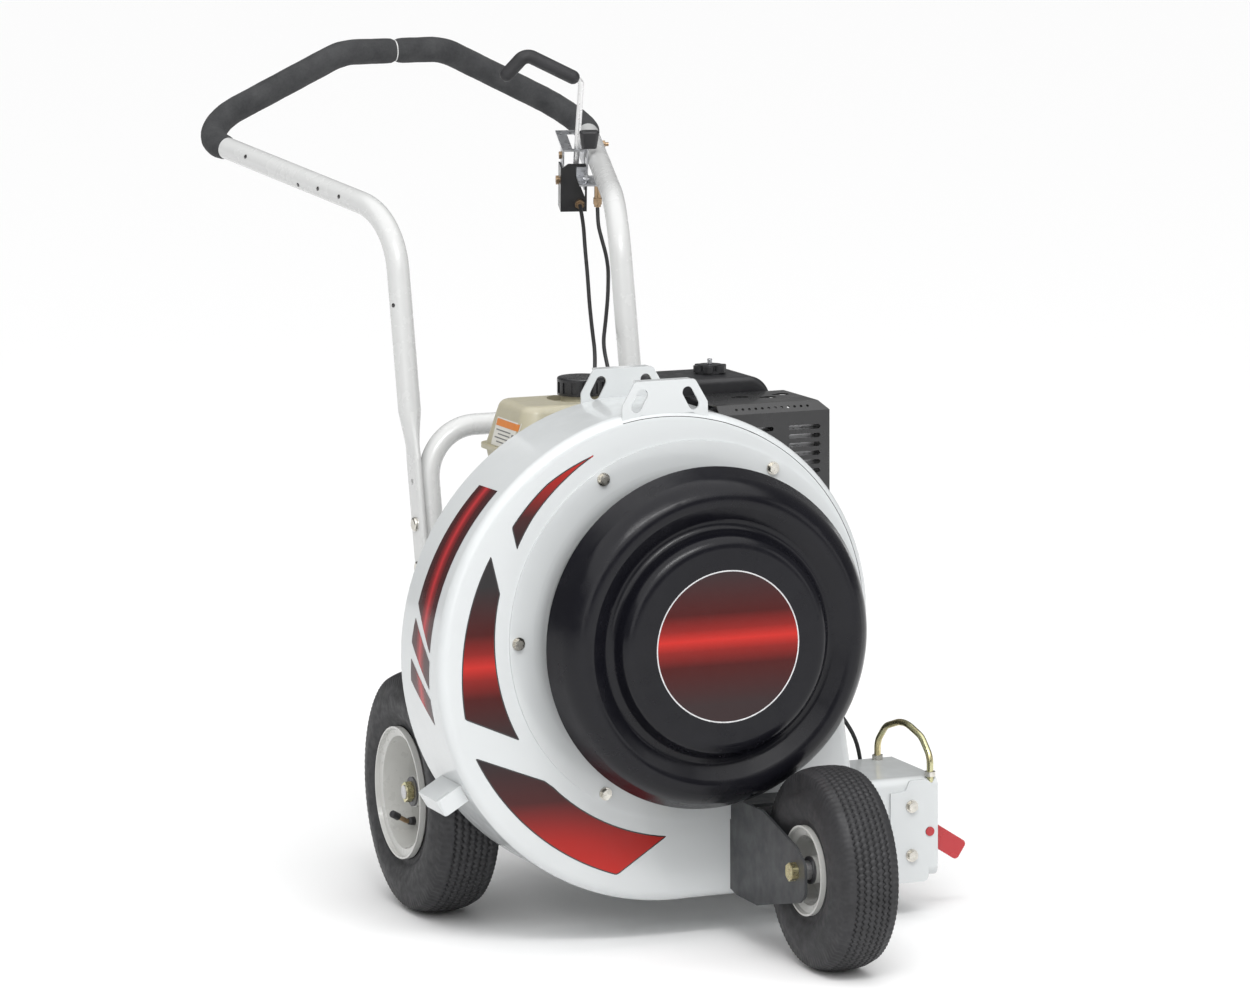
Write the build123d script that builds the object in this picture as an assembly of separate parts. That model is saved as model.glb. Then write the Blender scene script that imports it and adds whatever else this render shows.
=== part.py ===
"""Walk-behind leaf blower: a scroll fan driven by a small engine on three wheels.

Millimetres, +Z up, ground at z = 0. The fan dome faces -Y, the operator stands at +Y and the air
leaves towards +X. Shapes are drawn about the machine's middle plane (x = 0) with y = 0 on the
front face of the fan housing, and are shifted to the middle of the footprint when written.
"""
from build123d import *
from math import cos, pi, radians, sin, tan
import os

# ---------------------------------------------------------------- overall frame
FOOTPRINT_X = 29.75         # middle of the overall width
FOOTPRINT_Y = 401.25        # middle of the overall length

# ---------------------------------------------------------------- fan housing
FAN_Z = 416.5               # height of the fan and crankshaft axis
SHEET = 2.5                 # housing sheet
HOUSING_DEPTH = 142.0
FOLD_R = 14.0               # rounded front edge of the scroll
SCROLL = {-30: 262, 60: 276, 120: 307, 180: 345, 225: 364, 270: 360}   # angle: radius of the band
TONGUE_SLOPE = 28.0         # the scroll's start leans this far off vertical
OUTLET_X = 361.0            # mouth of the outlet duct
OUTLET_TOP = 192.0
OUTLET_CORNER_X = 240.0     # where the duct's roof meets the scroll
FLOOR_Z = FAN_Z - SCROLL[270]
BACK_PLATE = 4.0
HOUSING_HOLE = 4.3          # radius of the clearance holes for M8 bolts

# ---------------------------------------------------------------- outlet fittings
PLATE_THICK = 3.0
PLATE_BOLT_X = 321.0
PLATE_BOLTS_Z = (155.0, 88.0)
VANE_X = 349.0              # axis of the vane's cross shaft
VANE_Z = 118.0
VANE_SHAFT_R = 6.2
VANE_SLOPE = 33.0
HOOP_FEET = (Vector(352.0, 6.0, OUTLET_TOP), Vector(335.0, 136.0, OUTLET_TOP))
HOOP_ROD_R = 4.5
HOOP_RISE = 62.0
LIFT_X = -30.0              # middle of the lifting brackets
LIFT_BASE = 690.0
LIFT_TOP = 747.0
LIFT_SHEET = 3.0
LIFT_LIP = 17.0
TIE_ANGLE = 211.0           # the tie-down tab's place round the scroll
TIE_R = 360.7
TIE_REACH = 38.0
TIE_DEPTH = 24.0
TIE_SHEET = 3.0
TIE_Y = (29.0, 100.0)

# ---------------------------------------------------------------- air inlet
RING_R = 251.0              # outer edge of the inlet ring
RING_BOLT_R = 239.2
RING_BOLTS = 6
RING_ROLL = 35.0            # the ring rolls inwards by this radius to the throat
THROAT_R = 182.0            # inner face of the throat
INLET_HOLE_R = 234.0
DOME_R = 225.0
DOME_EDGE_Y = -64.0         # the dome's open edge
DOME_FACE_Y = -131.0
DOME_SHEET = 2.4
GUARD_Y = 31.0
GUARD_WIRE = 4.0
GUARD_RINGS = (60, 108, 155)
STANDOFF_R = GUARD_RINGS[2]  # the dome's posts stand under its groove
STANDOFF_TOP = -101.0

# ---------------------------------------------------------------- rotor
SHAFT_R = 12.7
IMPELLER_R = 200.0
IMPELLER_FRONT = 42.0
IMPELLER_BACK = 128.0
BLADES = 10
BLADE_SHEET = 3.0
FLYWHEEL_R = 92.0
FLYWHEEL_Y = (400.0, 422.0)

# ---------------------------------------------------------------- wheels
REAR_TYRE_R = 165.0
REAR_TYRE_W = 98.0
REAR_RIM_R = 89.5
REAR_WHEEL_X = 244.7
REAR_AXLE_Y = 315.0
REAR_AXLE_R = 9.5
FRONT_TYRE_R = 132.5
FRONT_TYRE_W = 88.0
FRONT_RIM_R = 58.5
FRONT_WHEEL_X = 110.0
FRONT_AXLE_Y = -211.0
FRONT_AXLE_R = 8.0
REAR_HUB = (-26.0, 20.0)    # reach of the hub tube from the wheel's middle plane, outboard negative
REAR_HUB_R = 21.0
REAR_BEARING_R = 16.0
FRONT_HUB = (-30.0, 30.0)
FRONT_HUB_R = 18.0
FRONT_BEARING_R = 14.0
FRONT_CENTRE = (FRONT_WHEEL_X, FRONT_AXLE_Y, FRONT_TYRE_R)
RUNNING_GAP = 0.05          # radial clearance of a bearing on its axle

# ---------------------------------------------------------------- fork
FORK_SHEET = 4.0
FORK_INNER = FRONT_TYRE_W / 2 + 4
FORK_TOP = 191.0
FORK_WEB_TOP = 160.0        # the rear web stays below the inlet ring
FORK_CLEAR = 3.2            # gap between the side plates and the housing, past the ring's flange
FORK_BOLTS_X = (FRONT_WHEEL_X - 28.0, FRONT_WHEEL_X + 28.0)
FORK_BOLTS_Z = (88.0, 142.0)

# ---------------------------------------------------------------- frame and handle
DECK_Z = 284.5              # top of the deck, where the engine's feet stand
DECK_SHEET = 5.0
DECK_X = 125.0
DECK_Y = (HOUSING_DEPTH + BACK_PLATE, 600.0)
LEAN = 11.6                 # degrees that the handle's uprights lean back
HOOP_TUBE_R = 15.0
HOOP_X = 147.0
HOOP_TOP = 618.0
TUBE_R = 15.875
UPRIGHT_X = 167.4
FLAT_THICK = 10.0           # flattened foot of the handle's uprights
FLAT_WIDE = 40.0
FLAT_X = HOOP_X + HOOP_TUBE_R + FLAT_THICK / 2
FLAT_FOOT = 398.0           # lower end of the foot, its flat top and the end of its taper
FLAT_TOP = 575.0
FLAT_END = 640.0
HANDLE_BOLTS_Z = (427.0, 487.0)
HANDLE_SPARE_Z = 545.0      # the empty hole above the two bolts
KNEE = Vector(167.4, 651.8, 908.5)
SIDE_CORNER = Vector(307.4, 1133.0, 992.2)
TOP_CORNER = Vector(78.4, 1114.3, 1104.3)
KNEE_R = 110.0
SIDE_R = 62.0
TOP_R = 90.0
FOAM_R = 18.6
FOAM_START = 96.0           # the sleeve begins this far before the side corner

# ---------------------------------------------------------------- engine
ENGINE_Y = DECK_Y[0]
ENGINE_FEET = [(x, y) for x in (-70.0, 70.0) for y in (ENGINE_Y + 34.0, ENGINE_Y + 150.0)]
CRANKCASE_X = (-118.0, 100.0)
CRANKCASE_Y = (ENGINE_Y, 330.0)
CRANKCASE_TOP = 520.0
TANK_X = (-152.0, 90.0)
TANK_Y = (214.0, 362.0)
TANK_Z = (592.0, 689.0)
TANK_SEAM = (623.0, 629.0)  # moulded flange round the tank
TANK_SEAM_REACH = 6.0
CAP_X = -30.0
CAP_Y = 296.0
CAP_Z = (694.0, 718.0)
CAP_R = 33.0
CLEANER_X = (98.0, 268.0)
CLEANER_Y = (338.0, 452.0)
CLEANER_Z = (560.0, 698.0)
KNOB_AT = (200.0, 395.0)
MUFFLER_X = (130.0, 291.0)
MUFFLER_Y = (196.0, 322.0)
MUFFLER_Z = (474.0, 679.0)
SHIELD_SHEET = 2.0
SWITCH_CENTRE = (64.0, 444.2, 532.0)
SHIELD_BEVEL = 12.0
SHIELD_VENTS = ((198.0, 279.0), (232.0, 263.0), (260.0, 284.0))

# ---------------------------------------------------------------- controls and cables
CABLE_D = 5.6


def rod(start, end, radius):
    """A round bar from start to end."""
    start = Vector(*start) if not isinstance(start, Vector) else start
    end = Vector(*end) if not isinstance(end, Vector) else end
    along = end - start
    return extrude(Plane(origin=start, z_dir=along) * Circle(radius), amount=along.length)


def pipe(start, end, outer, inner):
    """A tube from start to end."""
    return rod(start, end, outer) - rod(start, end, inner)


def block(x, y, z):
    """A box between the given low and high limits."""
    size = (x[1] - x[0], y[1] - y[0], z[1] - z[0])
    middle = ((x[0] + x[1]) / 2, (y[0] + y[1]) / 2, (z[0] + z[1]) / 2)
    return Pos(*middle) * Box(*size)


def rounded(x, y, z, radius, axis=Axis.Y):
    """A box with its four edges along one axis rounded."""
    solid = block(x, y, z)
    return fillet(solid.edges().filter_by(axis), radius)


def hexagon(start, direction, across_flats, height):
    """A hexagonal bolt head or nut body with slightly broken corners."""
    plane = Plane(origin=start, z_dir=direction)
    body = extrude(plane * RegularPolygon(across_flats / 2, 6, major_radius=False), amount=height)
    return body & extrude(plane * Circle(across_flats / 2 * 1.12), amount=height)


def bolt(start, direction, radius, head_af, head_h, length, washer=0.0):
    """A hex bolt: start is under the head and direction points along the shank."""
    start = Vector(*start)
    way = Vector(*direction).normalized()
    solid = rod(start, start + way * length, radius)
    solid += hexagon(start - way * (head_h + washer), way, head_af, head_h)
    if washer:
        solid += rod(start - way * washer, start, head_af * 0.72)
    return solid


def nut(start, direction, bore, across_flats, height):
    """A hex nut with a plain bore."""
    way = Vector(*direction).normalized()
    start = Vector(*start)
    return hexagon(start, way, across_flats, height) - rod(start - way, start + way * (height + 1), bore)


def around_fan(angle, radius, y):
    """A point at an angle (degrees, counter-clockwise seen from the front) about the fan axis."""
    return (radius * cos(radians(angle)), y, FAN_Z + radius * sin(radians(angle)))


def revolve_about(profile, origin, axis_direction):
    """Turn a face drawn in a plane through the axis into a full round."""
    return revolve(profile, axis=Axis(origin, axis_direction), revolution_arc=360)


# ================================================================ fan housing
def scroll_face(inset):
    """The scroll's outline in its front plane, inset all round, as a face facing -Y."""
    points = []
    for angle, radius in SCROLL.items():
        x, _, z = around_fan(angle, radius - inset, 0)
        points.append((x, z))
    tangent = Vector(sin(radians(TONGUE_SLOPE)), cos(radians(TONGUE_SLOPE)), 0)
    edges = []
    for start, end in zip(points, points[1:]):
        arc = TangentArc(start, end, tangent=tangent)
        tangent = arc % 1
        edges.append(arc)
    roof = OUTLET_TOP - inset
    mouth = OUTLET_X + inset * 4
    edges.append(Polyline(points[-1], (mouth, FLOOR_Z + inset), (mouth, roof),
                          (OUTLET_CORNER_X - inset, roof), points[0]))
    return Plane(origin=(0, 0, 0), x_dir=(1, 0, 0), z_dir=(0, -1, 0)) * make_face(edges)


def folded(face, depth, radius, start):
    """Extrude a scroll face towards +Y and round its front edge, except at the duct's mouth."""
    solid = extrude(Pos(0, start, 0) * face, amount=-depth)
    front = [e for e in solid.edges() if abs(e.center().Y - start) < 0.01 and e.length > 5
             and not (e.center().X > OUTLET_X - 1)]
    return fillet(front, radius)


def scroll_housing():
    outer = folded(scroll_face(0), HOUSING_DEPTH, FOLD_R, 0)
    inner = folded(scroll_face(SHEET), HOUSING_DEPTH, FOLD_R - SHEET, SHEET)
    solid = outer - inner
    solid -= rod((0, -1, FAN_Z), (0, 30, FAN_Z), INLET_HOLE_R)
    for index in range(RING_BOLTS):
        x, _, z = around_fan(index * 360 / RING_BOLTS, RING_BOLT_R, 0)
        solid -= rod((x, -1, z), (x, 8, z), HOUSING_HOLE)
    for z in PLATE_BOLTS_Z:
        solid -= rod((PLATE_BOLT_X, -1, z), (PLATE_BOLT_X, 8, z), HOUSING_HOLE)
    for x in FORK_BOLTS_X:
        for z in FORK_BOLTS_Z:
            solid -= rod((x, -1, z), (x, 8, z), HOUSING_HOLE)
    for foot in HOOP_FEET:
        solid -= rod(foot - Vector(0, 0, 14), foot + Vector(0, 0, 5), HOOP_ROD_R + 0.2)
    solid -= rod((VANE_X, -1, VANE_Z), (VANE_X, HOUSING_DEPTH, VANE_Z), VANE_SHAFT_R + 0.1)
    return solid


def back_plate():
    plate = extrude(Pos(0, HOUSING_DEPTH, 0) * scroll_face(0), amount=-BACK_PLATE)
    plate -= rod((0, HOUSING_DEPTH - 1, FAN_Z), (0, HOUSING_DEPTH + 9, FAN_Z), 30)
    plate -= rod((VANE_X, HOUSING_DEPTH - 1, VANE_Z), (VANE_X, HOUSING_DEPTH + 9, VANE_Z), VANE_SHAFT_R + 0.1)
    return plate


def inlet_ring():
    """Bell mouth: a flat bolted flange that rolls inwards to the throat."""
    start = THROAT_R + SHEET / 2 + RING_ROLL
    path = Polyline((RING_R, -SHEET / 2), (start, -SHEET / 2))
    path += CenterArc((start, RING_ROLL - SHEET / 2), RING_ROLL, 270, -90)
    section = trace(path, SHEET)
    section = Plane(origin=(0, 0, FAN_Z), x_dir=(1, 0, 0), z_dir=(0, 0, 1)) * section
    solid = revolve_about(section, (0, 0, FAN_Z), (0, 1, 0))
    for index in range(RING_BOLTS):
        x, _, z = around_fan(index * 360 / RING_BOLTS, RING_BOLT_R, 0)
        solid -= rod((x, -9, z), (x, 9, z), HOUSING_HOLE)
    return solid


def inlet_dome():
    """Pressed cover: rolled rim, outer bulge, groove and a raised flat boss."""
    edge = DOME_R - DOME_SHEET / 2
    face = DOME_FACE_Y + DOME_SHEET / 2
    path = FilletPolyline((edge, DOME_EDGE_Y), (208, -103), (188, -116), (150, -97), (139, face), (0, face),
                          radius=(40, 18, 12, 16))
    section = trace(path, DOME_SHEET)
    section = Plane(origin=(0, 0, FAN_Z), x_dir=(1, 0, 0), z_dir=(0, 0, 1)) * section
    return revolve_about(section, (0, 0, FAN_Z), (0, 1, 0))


def torus_ring(radius, y, wire):
    """A wire ring about the fan axis."""
    section = Plane(origin=(0, 0, FAN_Z), x_dir=(1, 0, 0), z_dir=(0, 0, 1)) * Pos(radius, y) * Circle(wire / 2)
    return revolve_about(section, (0, 0, FAN_Z), (0, 1, 0))


def inlet_guard():
    """Wire guard across the throat: rings joined by six spokes."""
    solid = torus_ring(GUARD_RINGS[0], GUARD_Y, GUARD_WIRE)
    for radius in GUARD_RINGS[1:]:
        solid += torus_ring(radius, GUARD_Y, GUARD_WIRE)
    for index in range(6):
        angle = 30 + index * 60
        solid += rod(around_fan(angle, GUARD_RINGS[0], GUARD_Y), around_fan(angle, THROAT_R, GUARD_Y),
                     GUARD_WIRE / 2)
    return solid


def inlet_fasteners():
    """The ring's bolts, and the three posts that carry the dome on the guard."""
    group = []
    for index in range(3):
        angle = 30 + index * 120
        foot = around_fan(angle, STANDOFF_R, GUARD_Y - GUARD_WIRE / 2)
        group.append(rod(foot, around_fan(angle, STANDOFF_R, STANDOFF_TOP), 5) - inlet_dome())
    for index in range(RING_BOLTS):
        x, _, z = around_fan(index * 360 / RING_BOLTS, RING_BOLT_R, 0)
        group.append(bolt((x, -SHEET, z), (0, 1, 0), 4, 12, 5.5, 16, washer=1.6))
    return Compound(group)


# ================================================================ rotor
def impeller():
    """Open fan wheel: back disc, hub and straight blades raked back."""
    solid = rod((0, IMPELLER_BACK, FAN_Z), (0, IMPELLER_BACK + 4, FAN_Z), IMPELLER_R)
    solid += rod((0, 92, FAN_Z), (0, IMPELLER_BACK + 2, FAN_Z), 30)
    blade = block((72, IMPELLER_R - 6), (IMPELLER_FRONT, IMPELLER_BACK + 1), (-BLADE_SHEET / 2, BLADE_SHEET / 2))
    blade -= Pos(72, IMPELLER_FRONT, 0) * Rot(0, 0, 45) * Box(60, 60, 20)
    for index in range(BLADES):
        turn = Pos(0, 0, FAN_Z) * Rot(0, index * 360 / BLADES, 0) * Pos(0, 0, 18) * Rot(0, 8, 0)
        solid += turn * blade
    return solid - rod((0, 80, FAN_Z), (0, 140, FAN_Z), SHAFT_R)


def crankshaft():
    shaft = rod((0, 96, FAN_Z), (0, FLYWHEEL_Y[1] + 6, FAN_Z), SHAFT_R)
    shaft -= rod((0, 95, FAN_Z), (0, 125, FAN_Z), 4.5)
    return shaft


def impeller_bolt():
    return bolt((0, 92, FAN_Z), (0, 1, 0), 4.5, 16, 9, 30, washer=4)


def flywheel():
    wheel = rod((0, FLYWHEEL_Y[0], FAN_Z), (0, FLYWHEEL_Y[1], FAN_Z), FLYWHEEL_R)
    for index in range(16):
        vane = block((50, 88), (FLYWHEEL_Y[1] - 1, FLYWHEEL_Y[1] + 16), (-1.5, 1.5))
        wheel += Pos(0, 0, FAN_Z) * Rot(0, index * 22.5, 0) * vane
    return wheel - rod((0, FLYWHEEL_Y[0] - 5, FAN_Z), (0, FLYWHEEL_Y[1] + 5, FAN_Z), SHAFT_R)


# ================================================================ wheels
def wheel_section(points, radii, centre):
    """A closed wheel section, given as (distance from the middle plane, radius) points."""
    section = make_face(Polyline(*points, close=True))
    if radii:
        for index, radius in radii.items():
            point = points[index]
            vertex = section.vertices().sort_by_distance((point[0], point[1], 0))[0]
            section = fillet(vertex, radius)
    placed = Plane(origin=centre, x_dir=(1, 0, 0), z_dir=(0, -1, 0)) * section
    return revolve_about(placed, centre, (1, 0, 0))


def tyre(centre, radius, width, bead):
    """A pneumatic tyre with a round shoulder and a hollow inside."""
    half = width / 2
    outer = [(-half * 0.62, bead), (-half, bead + (radius - bead) * 0.42), (-half * 0.86, radius * 0.93),
             (-half * 0.5, radius), (half * 0.5, radius), (half * 0.86, radius * 0.93),
             (half, bead + (radius - bead) * 0.42), (half * 0.62, bead)]
    solid = wheel_section(outer, {1: 18, 2: 10, 3: 16, 4: 16, 5: 10, 6: 18}, centre)
    skin = 9.0
    inner = [(-half * 0.62 + 6, bead - 1), (-half + skin, bead + (radius - bead) * 0.42),
             (-half * 0.86 + skin, radius * 0.93 - skin), (half * 0.86 - skin, radius * 0.93 - skin),
             (half - skin, bead + (radius - bead) * 0.42), (half * 0.62 - 6, bead - 1)]
    return solid - wheel_section(inner, {1: 12, 4: 12}, centre)


def rim(centre, flange_r, half_width, disc_side, disc_at, hub_r, bore_r, hub_reach):
    """A pressed steel rim: drop-centre barrel, dished disc and hub tube."""
    barrel = [(-half_width, flange_r), (-half_width, flange_r - 2.5), (-half_width + 5, flange_r - 4),
              (-half_width + 7, flange_r - 13), (-8, flange_r - 20), (8, flange_r - 20),
              (half_width - 7, flange_r - 13), (half_width - 5, flange_r - 4),
              (half_width, flange_r - 2.5), (half_width, flange_r), (half_width - 8, flange_r),
              (half_width - 10, flange_r - 10), (12, flange_r - 16.5), (-12, flange_r - 16.5),
              (-half_width + 10, flange_r - 10), (-half_width + 8, flange_r)]
    solid = wheel_section(barrel, {}, centre)
    side = disc_side
    disc = [(side * disc_at, hub_r - 2), (side * (disc_at + 3), hub_r - 2), (side * 13, flange_r - 18.5),
            (side * 9, flange_r - 18.5)]
    solid += wheel_section(disc, {}, centre)
    low, high = hub_reach
    hub = [(low, bore_r), (high, bore_r), (high, hub_r), (low, hub_r)]
    solid += wheel_section(hub, {}, centre)
    return solid


def bearings(centre, outer_r, axle_r, faces):
    """Two flanged bearings pressed into the ends of a hub."""
    group = []
    for face, side in faces:
        inner = face - side * 12
        points = [(inner, axle_r + RUNNING_GAP), (face + side * 3, axle_r + RUNNING_GAP),
                  (face + side * 3, outer_r + 4), (face, outer_r + 4), (face, outer_r), (inner, outer_r)]
        group.append(wheel_section(points, {}, centre))
    return Compound(group)


def rear_centre(side):
    return (side * REAR_WHEEL_X, REAR_AXLE_Y, REAR_TYRE_R)


def rear_rim(side):
    low, high = (REAR_HUB if side < 0 else (-REAR_HUB[1], -REAR_HUB[0]))
    solid = rim(rear_centre(side), REAR_RIM_R, REAR_TYRE_W / 2, -side, -10.0, REAR_HUB_R,
                REAR_BEARING_R, (low, high))
    return solid


def rear_bearings(side):
    low, high = (REAR_HUB if side < 0 else (-REAR_HUB[1], -REAR_HUB[0]))
    return bearings(rear_centre(side), REAR_BEARING_R, REAR_AXLE_R, ((low, -1), (high, 1)))


def front_rim():
    return rim(FRONT_CENTRE, FRONT_RIM_R, 42.0, -1, 0.0, FRONT_HUB_R, FRONT_BEARING_R, FRONT_HUB)


def front_bearings():
    return bearings(FRONT_CENTRE, FRONT_BEARING_R, FRONT_AXLE_R, ((FRONT_HUB[0], -1), (FRONT_HUB[1], 1)))


def rear_axle():
    reach = REAR_WHEEL_X - REAR_HUB[0] + 14
    return rod((-reach, REAR_AXLE_Y, REAR_TYRE_R), (reach, REAR_AXLE_Y, REAR_TYRE_R), REAR_AXLE_R)


def axle_collars():
    """Set collars inboard of the rear hubs and spacer tubes beside the front hub."""
    group = []
    for side in (-1, 1):
        inboard = side * (REAR_WHEEL_X - REAR_HUB[1] - 3.4)
        group.append(pipe((inboard, REAR_AXLE_Y, REAR_TYRE_R),
                          (inboard - side * 14, REAR_AXLE_Y, REAR_TYRE_R), 17, REAR_AXLE_R))
        start = FRONT_WHEEL_X + side * (3.4 - FRONT_HUB[0])
        end = FRONT_WHEEL_X + side * (FORK_INNER - 0.05)
        group.append(pipe((start, FRONT_AXLE_Y, FRONT_TYRE_R), (end, FRONT_AXLE_Y, FRONT_TYRE_R),
                          12.5, FRONT_AXLE_R))
    return Compound(group)


def axle_nuts():
    """Retaining nuts outboard of the rear hubs and on the end of the front axle bolt."""
    group = []
    for side in (-1, 1):
        outboard = side * (REAR_WHEEL_X - REAR_HUB[0] + 3.4)
        group.append(nut((outboard, REAR_AXLE_Y, REAR_TYRE_R), (side, 0, 0), REAR_AXLE_R, 25, 9))
    right = FRONT_WHEEL_X + FORK_INNER + FORK_SHEET
    group.append(nut((right, FRONT_AXLE_Y, FRONT_TYRE_R), (1, 0, 0), FRONT_AXLE_R, 22, 11))
    return Compound(group)


# ================================================================ fork
def fork_side(x):
    """One side plate, drawn in its own plane with rounded corners."""
    back = -FORK_CLEAR
    points = [(back, 66), (-20, 62), (-88, 62), (-221, 93), (-240, 105), (-240, 146), (-212, 164),
              (-108, FORK_TOP), (back, FORK_TOP)]
    face = make_face(Polyline(*points, close=True))
    for y, z, radius in ((-240, 105, 12), (-240, 146, 16), (-212, 164, 20), (-221, 93, 12)):
        vertex = face.vertices().sort_by_distance((y, z, 0))[0]
        face = fillet(vertex, radius)
    plate = extrude(Plane(origin=(x, 0, 0), x_dir=(0, 1, 0), z_dir=(1, 0, 0)) * face, amount=FORK_SHEET)
    return plate - rod((x - 5, FRONT_AXLE_Y, FRONT_TYRE_R), (x + 9, FRONT_AXLE_Y, FRONT_TYRE_R), FRONT_AXLE_R)


def front_fork():
    """Welded fork: two side plates, a rear web against the housing and a short top web."""
    left = FRONT_WHEEL_X - FORK_INNER - FORK_SHEET
    right = FRONT_WHEEL_X + FORK_INNER
    solid = fork_side(left) + fork_side(right)
    solid += block((left, right + FORK_SHEET), (-FORK_CLEAR - 1, 0), (66, FORK_WEB_TOP))
    solid += block((left, right + FORK_SHEET), (-62, -FORK_CLEAR), (FORK_TOP - FORK_SHEET, FORK_TOP))
    for x in FORK_BOLTS_X:
        for z in FORK_BOLTS_Z:
            solid -= rod((x, -9, z), (x, 9, z), HOUSING_HOLE)
    return solid


def front_axle():
    left = FRONT_WHEEL_X - FORK_INNER - FORK_SHEET
    right = FRONT_WHEEL_X + FORK_INNER + FORK_SHEET
    axle = bolt((left, FRONT_AXLE_Y, FRONT_TYRE_R), (1, 0, 0), FRONT_AXLE_R, 22, 9, right - left + 18)
    return axle


# ================================================================ brackets on the housing
def lift_bracket(y):
    """A formed lifting ear with two slots and a lip along its top, standing on the scroll."""
    points = [(-60, LIFT_BASE), (-60, 716), (-42, LIFT_TOP), (42, LIFT_TOP), (60, 716), (60, LIFT_BASE),
              (46, LIFT_BASE), (40, 703), (-34, 703), (-42, LIFT_BASE)]
    face = make_face(Polyline(*points, close=True))
    for x, z, radius in ((-42, LIFT_TOP, 6), (42, LIFT_TOP, 6), (-60, 716, 8), (60, 716, 8)):
        face = fillet(face.vertices().sort_by_distance((x, z, 0))[0], radius)
    for side in (-1, 1):
        face -= Pos(side * 36, 722) * Rot(0, 0, side * 28) * SlotOverall(33, 15, rotation=90)
    plate = extrude(Plane(origin=(LIFT_X, y, 0), x_dir=(1, 0, 0), z_dir=(0, -1, 0)) * face, amount=-LIFT_SHEET)
    return plate + block((LIFT_X - 38, LIFT_X + 38), (y, y + LIFT_LIP), (LIFT_TOP - LIFT_SHEET, LIFT_TOP))


def lift_brackets():
    return Compound([lift_bracket(3.0), lift_bracket(HOUSING_DEPTH + BACK_PLATE)])


def tie_down_bracket():
    """A folded tab low on the scroll's left side, with flanges on its outer and front edges."""
    place = Pos(*around_fan(TIE_ANGLE, TIE_R, 0)) * Rot(0, 180 - TIE_ANGLE, 0)
    front = TIE_Y[0] + TIE_SHEET
    tab = block((-TIE_REACH, 0), TIE_Y, (-TIE_SHEET, 0))
    tab += block((-TIE_REACH, TIE_SHEET - TIE_REACH), TIE_Y, (-TIE_DEPTH, 0))
    tab += block((-TIE_REACH, -1.5), (TIE_Y[0], front), (-TIE_DEPTH, 0))
    corner = tab.edges().filter_by(Axis.Z).sort_by_distance((-TIE_REACH, TIE_Y[0], -TIE_DEPTH / 2))
    tab = fillet(corner[0], 5)
    tab -= block((TIE_SHEET - TIE_REACH, 21 - TIE_REACH), (front, front + 3), (-TIE_SHEET - 1, 1))
    return place * tab


# ================================================================ outlet fittings
def outlet_side_plate():
    """Formed plate bolted to the front of the outlet duct, with a notched top corner."""
    points = [(290, 51), (346, 51), (346, 190), (318, 190), (312, 176), (290, 174)]
    face = make_face(Polyline(*points, close=True))
    for x, z, radius in ((346, 51, 8), (346, 190, 8), (318, 190, 4), (312, 176, 4)):
        face = fillet(face.vertices().sort_by_distance((x, z, 0))[0], radius)
    plate = extrude(Plane(origin=(0, 0, 0), x_dir=(1, 0, 0), z_dir=(0, -1, 0)) * face, amount=PLATE_THICK)
    for z in PLATE_BOLTS_Z:
        plate -= rod((PLATE_BOLT_X, -9, z), (PLATE_BOLT_X, 3, z), HOUSING_HOLE)
    return plate - rod((VANE_X, -5, VANE_Z), (VANE_X, 1, VANE_Z), 8)


def outlet_hoop():
    """A bent rod bridging the top of the outlet, with threaded feet through the duct's roof."""
    front, rear = HOOP_FEET
    across = front - rear
    up = Vector(0, 0, 1)
    corners = [rear - up * 12, rear + up * 26, rear + across * 0.16 + up * (HOOP_RISE - 12),
               rear + across * 0.5 + up * (HOOP_RISE + 3), rear + across * 0.84 + up * (HOOP_RISE - 12),
               front + up * 26, front - up * 12]
    return swept_tube(corners, HOOP_ROD_R, [26, 30, 60, 30, 26], "outlet_hoop")


def swept_tube(points, radius, radii, label=""):
    """A round bar along straight runs joined by tangent arcs."""
    path = FilletPolyline(*points, radius=radii)
    start = path @ 0
    section = Plane(origin=start, z_dir=path % 0) * Circle(radius)
    solid = sweep(section, path=path)
    expected = pi * radius * radius * path.length
    print(f"{label}: length {path.length:.1f} volume ratio {solid.volume / expected:.4f}")
    return solid


def housing_fasteners():
    """Hex bolts of the fork and the side plate, and the nuts on the hoop's feet."""
    group = [bolt((PLATE_BOLT_X, -PLATE_THICK, z), (0, 1, 0), 4, 12, 5, 9, washer=1.6) for z in PLATE_BOLTS_Z]
    for x in FORK_BOLTS_X:
        for z in FORK_BOLTS_Z:
            group.append(bolt((x, -FORK_CLEAR - 1, z), (0, 1, 0), 4, 13, 5.5, 14, washer=1.6))
    for foot in HOOP_FEET:
        group.append(nut((foot.X, foot.Y, OUTLET_TOP), (0, 0, 1), HOOP_ROD_R, 14, 6.5))
    return Compound(group)


def stream_vane():
    """Red vane on a cross shaft inside the outlet, with a lever that reaches out of the mouth."""
    shaft = rod((VANE_X, -1.5, VANE_Z), (VANE_X, HOUSING_DEPTH + BACK_PLATE + 5, VANE_Z), VANE_SHAFT_R)
    slope = Pos(VANE_X, 0, VANE_Z) * Rot(0, VANE_SLOPE, 0)
    blade = slope * block((-56, 0), (10, HOUSING_DEPTH - 8), (-1.5, 1.5))
    arm = slope * rounded((0, 62), (10, 14), (-14, 14), 6, Axis.Y)
    crank = slope * rounded((-40, 8), (HOUSING_DEPTH + BACK_PLATE + 1, HOUSING_DEPTH + BACK_PLATE + 5),
                            (-8, 8), 6, Axis.Y)
    return shaft + blade + arm + crank


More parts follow.
